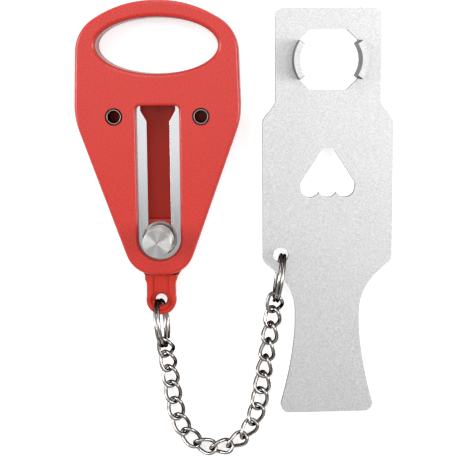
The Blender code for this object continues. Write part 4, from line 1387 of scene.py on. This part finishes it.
@dataclass(frozen=True)
class Knob:
    """The turned knob: collar, rib and a broad head with a centre dimple."""

    form: HandleForm
    look: bpy.types.Material
    base: float = 8.0 * MM
    bore: float = 5.0 * MM
    bore_depth: float = 7.0 * MM
    neck: float = 6.2 * MM
    # Width and length of a band, and the length of the groove above it.
    collar: tuple[float, float, float] = (9.2 * MM, 1.5 * MM, 1.3 * MM)
    rib: tuple[float, float, float] = (8.7 * MM, 1.8 * MM, 2.2 * MM)
    head: float = 9.3 * MM
    head_length: float = 4.2 * MM
    crown: float = 0.24 * MM
    edge: float = 0.3 * MM
    dimple: float = 1.0 * MM
    dimple_depth: float = 1.1 * MM
    steps: int = 96
    edge_steps: int = 4

    def make(self) -> None:
        """Builds the knob."""
        bore, neck = self.bore / 2, self.neck / 2
        roof = self.base + self.bore_depth
        profile = [(0, roof), (bore, roof), (bore, self.base)]
        level = self.base
        for width, length, groove in (self.collar, self.rib):
            profile += self.band(width / 2, level, level + length)
            level += length
            profile += [(neck, level), (neck, level + groove)]
            level += groove
        top = level + self.head_length
        profile += self.band(self.head / 2, level, top - self.crown)
        profile += [(self.dimple / 2, top), (0, top - self.dimple_depth)]
        knob = Blank("turned_knob").lathe(profile, self.form.knob_place, self.steps)
        knob.finish(self.look, Slot.TURNED_STEEL, "turning_knob", "knob", KNOB_EDGE)

    def band(self, radius: float, low: float, high: float) -> list[Flat]:
        """Profile of one turned band with rounded edges.

        Args:
            radius: its radius.
            low: its lower face.
            high: its upper face.

        Returns:
            The points, from the lower face to the upper one.
        """
        inner = radius - self.edge
        lower = arc((inner, low + self.edge), self.edge, -90, 0, self.edge_steps)
        upper = arc((inner, high - self.edge), self.edge, 0, 90, self.edge_steps)
        return lower + upper


# Rings and chain


@dataclass(frozen=True)
class SplitRing:
    """A split ring: two touching turns of wire that part at a short ramp."""

    name: str
    node: str
    body: str
    pivot: Vector
    yaw: float
    lean: float
    look: bpy.types.Material
    diameter: float = 16.6 * MM
    wire: float = 1.02 * MM
    coil_step: float = 1.15 * MM
    ramp: float = 26.0
    end_space: float = 10.0
    steps: int = 120

    def axes(self) -> tuple[Vector, Vector, Vector]:
        """Axes of the standing ring: along the floor, its normal, and up in its plane.

        Returns:
            The three axes.
        """
        along = Vector((math.cos(math.radians(self.yaw)), math.sin(math.radians(self.yaw)), 0))
        level = Vector((-along.y, along.x, 0))
        tilt = math.radians(self.lean)
        normal = level * math.cos(tilt) - Vector(UP) * math.sin(tilt)
        rise = level * math.sin(tilt) + Vector(UP) * math.cos(tilt)
        return along, normal, rise

    def make(self, centre: Vector) -> None:
        """Builds the ring about its centre.

        Args:
            centre: the ring's centre.
        """
        along, normal, rise = self.axes()
        radius = (self.diameter - self.wire) / 2
        total = 720.0 - self.ramp - self.end_space
        points = []
        for step in range(self.steps + 1):
            degrees = total * step / self.steps
            share = min(max((degrees - 360.0 + self.ramp) / self.ramp, 0), 1)
            across = (ease(share) - 0.5) * self.coil_step
            angle = math.radians(degrees)
            spoke = along * math.cos(angle) + rise * math.sin(angle)
            points.append(tuple(centre + spoke * radius + normal * across))
        ring = wire(self.name, points, self.wire, closed=False)
        ring.finish(self.look, Slot.NICKEL, self.body, self.node, WIRE_EDGE)


@dataclass(frozen=True)
class Chain:
    """Nineteen twisted links, each pulled by the one before it."""

    pulls: list[Vector]
    look: bpy.types.Material
    pitch: float = 5.9 * MM
    wire: float = 1.26 * MM
    width: float = 6.22 * MM
    twist: float = 1.02 * MM
    steps: int = 48
    rolls: tuple[int, ...] = (
        0, 2, 3, 0, 0, -4, -3, 11, 19, 24, 26, 14, -2, -21, -36, -37, -27, -11, 0,
    )

    def centre_line(self) -> list[Place]:
        """The wire of one link, whose origin is where the link before it pulls.

        Returns:
            The points.
        """
        half_length = (self.pitch + self.wire + GAP) / 2
        half_width = (self.width - self.wire) / 2
        angles = [math.tau * step / self.steps for step in range(self.steps)]
        return [
            (
                self.pitch / 2 + half_length * math.cos(angle),
                half_width * math.sin(angle),
                -self.twist * math.sin(2 * angle),
            )
            for angle in angles
        ]

    def make(self) -> None:
        """Builds one link and copies it along the chain."""
        first = wire("chain_pattern", self.centre_line(), self.wire, closed=True)
        places = zip(self.pulls, self.pulls[1:], self.rolls, strict=False)
        for index, (here, ahead, roll) in enumerate(places, start=1):
            along = (ahead - here).normalized()
            across = Vector(UP).cross(along).normalized()
            level = Matrix((along, across, along.cross(across))).transposed().to_4x4()
            turn = Matrix.Rotation(math.radians(roll), 4, "X")
            number = f"{index:02d}"
            link = first.copy(f"twisted_link_{number}", Matrix.Translation(here) @ level @ turn)
            body, node = f"link_{number}", f"chain_link_{number}"
            link.finish(self.look, Slot.NICKEL, body, node, WIRE_EDGE)
        bpy.data.objects.remove(first.obj)


@dataclass(frozen=True)
class Tether:
    """The chain with its two split rings, from the handle's tab to the latch plate."""

    pivots: dict[str, Vector]
    look: bpy.types.Material
    links: int = 19
    tab_yaw: float = -83.0
    tab_lean: float = -5.0
    tab_web: float = 1.3 * MM
    tab_slack: float = 0.6 * MM
    plate_yaw: float = -99.5
    plate_lean: float = 2.0
    hook_angle: float = 8.0
    hook_slack: float = 0.75 * MM

    def tab_centre(self, ring: SplitRing, reach: float) -> Vector:
        """Centre of the ring that stands on the floor and hangs in the tab.

        Args:
            ring: the ring.
            reach: distance from its pivot to its centre.

        Returns:
            The centre.
        """
        along, _, rise = ring.axes()
        tilt = math.radians(abs(ring.lean))
        depth = ring.coil_step + ring.wire
        height = ring.diameter / 2 * math.cos(tilt) + depth / 2 * math.sin(tilt)
        climb = (height - ring.pivot.z) / rise.z
        return ring.pivot + rise * climb + along * math.sqrt(reach ** 2 - climb ** 2)

    def ring(self, part: str, yaw: float, lean: float) -> SplitRing:
        """The ring in the tab or in the plate.

        Args:
            part: tab or plate.
            yaw: heading of the ring, in degrees.
            lean: how far it leans, in degrees.

        Returns:
            The ring.
        """
        pivot = self.pivots[f"{part}_ring_swing"]
        names = (f"split_ring_{part}", f"{part}_ring", f"ring_at_{part}")
        return SplitRing(*names, pivot, yaw, lean, self.look)

    def make(self) -> None:
        """Builds the tab's ring, the links and the plate's ring."""
        tab = self.ring("tab", self.tab_yaw, self.tab_lean)
        plate = self.ring("plate", self.plate_yaw, self.plate_lean)
        inside = tab.diameter / 2 - tab.wire
        tab.make(self.tab_centre(tab, inside - self.tab_web - self.tab_slack))
        folds = [self.pivots[f"link_{number:02d}_fold"] for number in range(1, self.links + 1)]
        Chain(folds + [plate.pivot], self.look).make()
        along, _, rise = plate.axes()
        hook, reach = math.radians(self.hook_angle), inside - self.hook_slack
        plate.make(plate.pivot - along * reach * math.cos(hook) + rise * reach * math.sin(hook))


# Latch plate, drawn with its head end at y = 0 and its tail towards -Y


def sweep(
    narrow: float, wide: float, start: float, end: float, bend: Callable[[float], float], steps: int
) -> list[Flat]:
    """A curved side of the plate, from its lower end upwards.

    Args:
        narrow: half the width where the bend is 0.
        wide: half the width where the bend is 1.
        start: distance of its upper end from the head end.
        end: distance of its lower end from the head end.
        bend: gives the bend for a share of the way down.
        steps: number of chords.

    Returns:
        The points.
    """
    shares = [step / steps for step in range(steps, -1, -1)]
    return [(narrow + (wide - narrow) * bend(s), -start - (end - start) * s) for s in shares]


@dataclass(frozen=True)
class LatchPlate:
    """The steel plate that hooks into the door frame, with its two bent claws."""

    pivot: Vector
    look: bpy.types.Material
    thickness: float = 1.9 * MM
    length: float = 136 * MM
    head_width: float = 34.8 * MM
    body_width: float = 43.4 * MM
    neck_width: float = 21.6 * MM
    tail_width: float = 33.2 * MM
    corner: float = 2.8 * MM
    tilt: float = 5.5
    head_length: float = 30.0 * MM
    body_start: float = 37.5 * MM
    body_end: float = 83.6 * MM
    hip_end: float = 102.0 * MM
    neck_middle: float = 103.5 * MM
    hip_corner: float = 3 * MM
    claw_hole_place: float = 16.8 * MM
    claw_hole_height: float = 19.7 * MM
    claw_hole_width: float = 20.3 * MM
    claw_hole_flat: float = 12.0 * MM
    claw_hole_side: float = 11.6 * MM
    claw_height: float = 7.0 * MM
    claw_radius: float = 10.8 * MM
    claw_span: float = 36.0
    claw_top_round: float = 2 * MM
    heart_apex: float = 45.8 * MM
    heart_shoulder: float = 57.5 * MM
    heart_width: float = 18.5 * MM
    heart_cusp: float = 60.3 * MM
    lobe_spacing: float = 5.8 * MM
    lobe_radius: float = 3.25 * MM
    apex_radius: float = 2.2 * MM
    heart_corner: float = 1.6 * MM
    chain_hole_place: float = 81.4 * MM
    chain_hole_offset: float = 15.7 * MM
    chain_hole: float = 5.1 * MM
    burr: float = 0.22 * MM
    flare_power: float = 1.7
    hip_power: float = 2.4
    apex_share: float = 0.8
    claw_end_share: float = 0.9
    side_steps: int = 24
    claw_steps: int = 30

    def flare_bend(self, share: float) -> float:
        """The tail widens slowly and then fast."""
        return share ** self.flare_power

    def hip_bend(self, share: float) -> float:
        """The hips narrow fast and then slowly."""
        return (1 - share) ** self.hip_power

    def outline(self) -> list[Flat]:
        """Head, shoulders, body, swept hips, neck and flared tail.

        Returns:
            The points.
        """
        head, body = self.head_width / 2, self.body_width / 2
        neck, tail = self.neck_width / 2, self.tail_width / 2
        steps = self.side_steps
        flare = sweep(neck, tail, self.neck_middle, self.length, self.flare_bend, steps)
        hips = sweep(neck, body, self.body_end, self.hip_end, self.hip_bend, steps)[1:]
        shoulders = sweep(head, body, self.head_length, self.body_start, ease, steps)
        corners = [(0, -self.length, 0), (tail, -self.length, self.corner)]
        corners += [(x, y, 0) for x, y in flare if y > self.corner - self.length]
        corners += [(x, y, 0) for x, y in hips if y < -self.body_end - self.hip_corner / 2]
        corners += [(body, -self.body_end, self.hip_corner)]
        corners += [(x, y, 0) for x, y in shoulders]
        corners += [(head, 0, self.corner), (0, 0, 0)]
        return mirrored(rounded(corners, CORNER_STEPS))

    def claw_hole(self) -> list[Flat]:
        """Flat top and bottom, sloping corners and straight sides inside the claws.

        Returns:
            The points.
        """
        flat, wide = self.claw_hole_flat / 2, self.claw_hole_width / 2
        side, high = self.claw_hole_side / 2, self.claw_hole_height / 2
        half = [(0, -high), (flat, -high), (wide, -side), (wide, side), (flat, high), (0, high)]
        return mirrored([(x, y - self.claw_hole_place) for x, y in half])

    def heart(self) -> list[Flat]:
        """The cut-out: a rounded point above and three scallops below.

        Returns:
            The points.
        """
        half_space = self.lobe_spacing / 2
        lift = math.sqrt(self.lobe_radius ** 2 - half_space ** 2)
        cusp = math.degrees(math.asin(lift / self.lobe_radius))
        middle = lift - self.heart_cusp
        lobe = arc((0, middle), self.lobe_radius, -90, -cusp, CORNER_STEPS)
        side = arc((self.lobe_spacing, middle), self.lobe_radius, cusp - 180, 0, self.side_steps)
        slope = rounded(
            [
                (side[-1][0], middle, 0),
                (self.heart_width / 2, -self.heart_shoulder, self.heart_corner),
                (self.apex_radius * self.apex_share, -self.heart_apex, self.apex_radius),
                (0, -self.heart_apex, 0),
            ],
            CORNER_STEPS,
        )
        return mirrored(lobe + side[1:-1] + slope)

    def claw(self, side: int) -> Blank:
        """An arc of sheet bent up beside the hole, with rounded upper corners.

        Args:
            side: -1 for the left claw, 1 for the right one.

        Returns:
            The claw.
        """
        centre = self.claw_hole_width / 2 + self.thickness - self.claw_radius
        place, span = (0.0, -self.claw_hole_place), self.claw_span
        top = self.thickness + self.claw_height
        outer = arc(place, self.claw_radius, -span, span, self.claw_steps)
        inner = arc(place, self.claw_radius - self.thickness, span, -span, self.claw_steps)
        claw = Blank("claw").prism([(side * (x + centre), y) for x, y in outer + inner], 0, top)
        # The two ends of the claw's top: as long as the sheet is thick, and far from its middle.
        shortest = self.thickness * self.claw_end_share
        reach = self.claw_radius - self.thickness / 2
        far = reach * math.sin(math.radians(span)) - self.thickness / 2
        claw.round_edges(
            self.claw_top_round,
            TIGHT_STEPS,
            lambda edge: at_height(edge, top)
            and edge.calc_length() > shortest
            and all(abs(vert.co.y - place[1]) > far for vert in edge.verts),
        )
        return claw

    def make(self) -> None:
        """Builds the plate."""
        plate = Blank("latch_sheet").prism(self.outline(), 0, self.thickness)
        high = self.thickness + OVERRUN
        hole_place = (-self.chain_hole_offset, -self.chain_hole_place)
        plate.cut(
            Blank("claw_hole").prism(self.claw_hole(), -OVERRUN, high),
            Blank("heart_hole").prism(self.heart(), -OVERRUN, high),
            drum("chain_hole", hole_place, self.chain_hole / 2, -OVERRUN, high, FINE_STEPS),
        )
        plate.join(self.claw(-1), self.claw(1))
        plate.ease_edges(self.burr)
        local = Vector((
            -self.chain_hole_offset,
            -self.chain_hole_place - self.chain_hole / 2 - self.thickness / 2,
            self.thickness / 2,
        ))
        turn = Matrix.Rotation(math.radians(self.tilt), 4, "Y")
        plate.move(Matrix.Translation(self.pivot) @ turn @ Matrix.Translation(-local))
        plate.finish(self.look, Slot.SATIN_STEEL, "latch", "latch_plate")


# Studio


@dataclass(frozen=True)
class Lamp:
    """A square soft lamp: its place, the length of its side in metres and its power in watts."""

    name: str
    place: Place
    side: float
    power: float


@dataclass(frozen=True)
class Studio:
    """Plain pale floor, soft lamps and the camera at the photograph's angle."""

    camera_place: Place = (38.69 * MM, 43.79 * MM, 394.83 * MM)
    camera_back: Place = (0.0349, 0.1564, 0.9871)
    camera_roll: float = 0.4
    distance: float = 400 * MM
    frame_width: float = 159.1 * MM
    sensor: float = 36.0
    near: float = 10 * MM
    far: float = 20.0
    aim: Place = (30 * MM, -15 * MM, 0.0)
    backdrop_top: float = 0.22
    soft_edge: float = 0.05
    ceiling: float = 0.80
    wall_colour: str = "#4A4644"
    ceiling_colour: str = "#A4A4A4"
    floor_colour: str = "#F2F2F2"
    floor_size: float = 6.0
    floor_height: float = -0.05 * MM
    floor_roughness: float = 0.9
    floor_shine: float = 0.1
    floor_lift: float = 0.5
    lamps: tuple[Lamp, ...] = (
        Lamp("overhead", (0.03, 0.40, 0.95), 1.2, 3.6),
        Lamp("left", (-0.60, 0.10, 0.45), 0.36, 3.0),
        Lamp("right", (0.66, 0.02, 0.45), 0.36, 2.8),
        Lamp("top", (0.02, 0.66, 0.45), 0.36, 0.9),
    )

    def camera(self) -> None:
        """Sets up the camera."""
        data = bpy.data.cameras.new("camera")
        data.sensor_width = self.sensor
        data.lens = self.sensor * self.distance / self.frame_width
        data.clip_start = self.near
        data.clip_end = self.far
        camera = bpy.data.objects.new("camera", data)
        bpy.context.scene.collection.objects.link(camera)
        roll = math.radians(self.camera_roll)
        back = Vector(self.camera_back).normalized()
        across = Vector((math.sin(roll), math.cos(roll), 0)).cross(back).normalized()
        turn = Matrix((across, back.cross(across), back)).transposed().to_4x4()
        camera.matrix_world = Matrix.Translation(self.camera_place) @ turn
        bpy.context.scene.camera = camera

    def light(self, lamp: Lamp) -> None:
        """Hangs a lamp and aims it at the object.

        Args:
            lamp: the lamp.
        """
        data = bpy.data.lights.new(lamp.name, "AREA")
        data.size = lamp.side
        data.energy = lamp.power
        hung = bpy.data.objects.new(lamp.name, data)
        bpy.context.scene.collection.objects.link(hung)
        hung.location = lamp.place
        back = Vector(lamp.place) - Vector(self.aim)
        hung.rotation_euler = back.to_track_quat("Z", "Y").to_euler()

    def floor(self) -> None:
        """A pale floor, lifted to white where it is seen, but not in the object's shadow."""
        bpy.ops.object.select_all(action="DESELECT")
        bpy.ops.mesh.primitive_plane_add(size=self.floor_size, location=(0, 0, self.floor_height))
        floor = bpy.context.object
        floor.name = "floor"
        board = Surface("floor, painted board")
        board.set({
            "Base Color": linear(self.floor_colour),
            "Roughness": self.floor_roughness,
            "Specular IOR Level": self.floor_shine,
            "Emission Color": linear("#FFFFFF"),
        })
        rays = add_node(board.tree, "ShaderNodeLightPath").outputs
        seen = rays["Is Camera Ray"]
        for kind in ("Is Glossy Ray", "Is Transmission Ray"):
            links = {0: seen, 1: rays[kind]}
            seen = add_node(board.tree, MATHS, {"operation": "MAXIMUM"}, links).outputs["Value"]
        settings = {"operation": "MULTIPLY", 1: self.floor_lift}
        lift = add_node(board.tree, MATHS, settings, {0: seen})
        board.feed("Emission Strength", lift.outputs["Value"])
        floor.data.materials.append(board.material)

    def world(self) -> None:
        """A white backdrop low down, a dim wall above it and a brighter ceiling."""
        world = bpy.data.worlds.new("studio room")
        bpy.context.scene.world = world
        world.use_nodes = True
        tree = world.node_tree
        tree.nodes.clear()
        direction = add_node(tree, "ShaderNodeTexCoord").outputs["Generated"]
        split = add_node(tree, "ShaderNodeSeparateXYZ", None, {"Vector": direction})
        ramp = add_node(tree, "ShaderNodeValToRGB", None, {"Fac": split.outputs["Z"]})
        stops = ramp.color_ramp.elements
        stops[0].position, stops[0].color = self.backdrop_top, linear("#FFFFFF")
        stops[1].position, stops[1].color = self.ceiling, linear(self.ceiling_colour)
        wall = stops.new(self.backdrop_top + self.soft_edge)
        wall.color = linear(self.wall_colour)
        colour = {"Color": ramp.outputs["Color"]}
        shown = add_node(tree, "ShaderNodeBackground", {"Strength": 1.0}, colour)
        add_node(tree, "ShaderNodeOutputWorld", None, {"Surface": shown.outputs["Background"]})

    def make(self) -> None:
        """Sets up camera, floor, room and lamps."""
        self.camera()
        self.floor()
        self.world()
        for lamp in self.lamps:
            self.light(lamp)
        bpy.context.scene.view_settings.view_transform = "Standard"


def main() -> None:
    """Loads the frame, builds every sub-assembly in order and sets up the studio."""
    logging.basicConfig(level=logging.INFO, format="%(name)s %(message)s")
    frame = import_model()
    pivots = {j["name"]: Vector(j["pos_m"]) for j in frame["joints"] if "pos_m" in j}
    red = MouldedPlastic().make()
    low_sheen = MouldedPlastic(
        "ABS, moulded, red, low sheen", "#CF3C31", "#C7352B", shine=0.12
    ).make()
    nickel = BrightNickel().make()
    # A paler painted shade on the flanks of the screws, the stud and the washer.
    bright = BrightNickel("steel, nickel plate, bright", flank_shade="#8C857F").make()
    # Painted shade darkens all of the eyelets' roll but its very top, which leaves a thin bright
    # arc.
    rolled = BrightNickel(
        "steel, nickel plate, rolled", flank_shade="#3A2220", flank_shade_turn=(0.93, 0.9995)
    ).make()
    form = HandleForm()
    FrontShell(form, red).make()
    RearShell(form, low_sheen).make()
    SlidePlate(form, RolledSteel().make()).make()
    Eyelets(form, rolled).make()
    CoverScrews(form, bright).make()
    Knob(form, TurnedSteel(form.knob_place).make()).make()
    inner_looks = {"slide_shoe": Nylon().make(), "hex_stud": bright, "wave_washer": bright}
    for node, look in inner_looks.items():
        frame["nodes"][node].data.materials.clear()
        frame["nodes"][node].data.materials.append(look)
        LOG.info("%s: CAD shape kept", node)
    Tether(pivots, nickel).make()
    LatchPlate(pivots["latch_plate_swing"], BlastedSteel().make()).make()
    Studio().make()


if __name__ == "__main__":
    main()
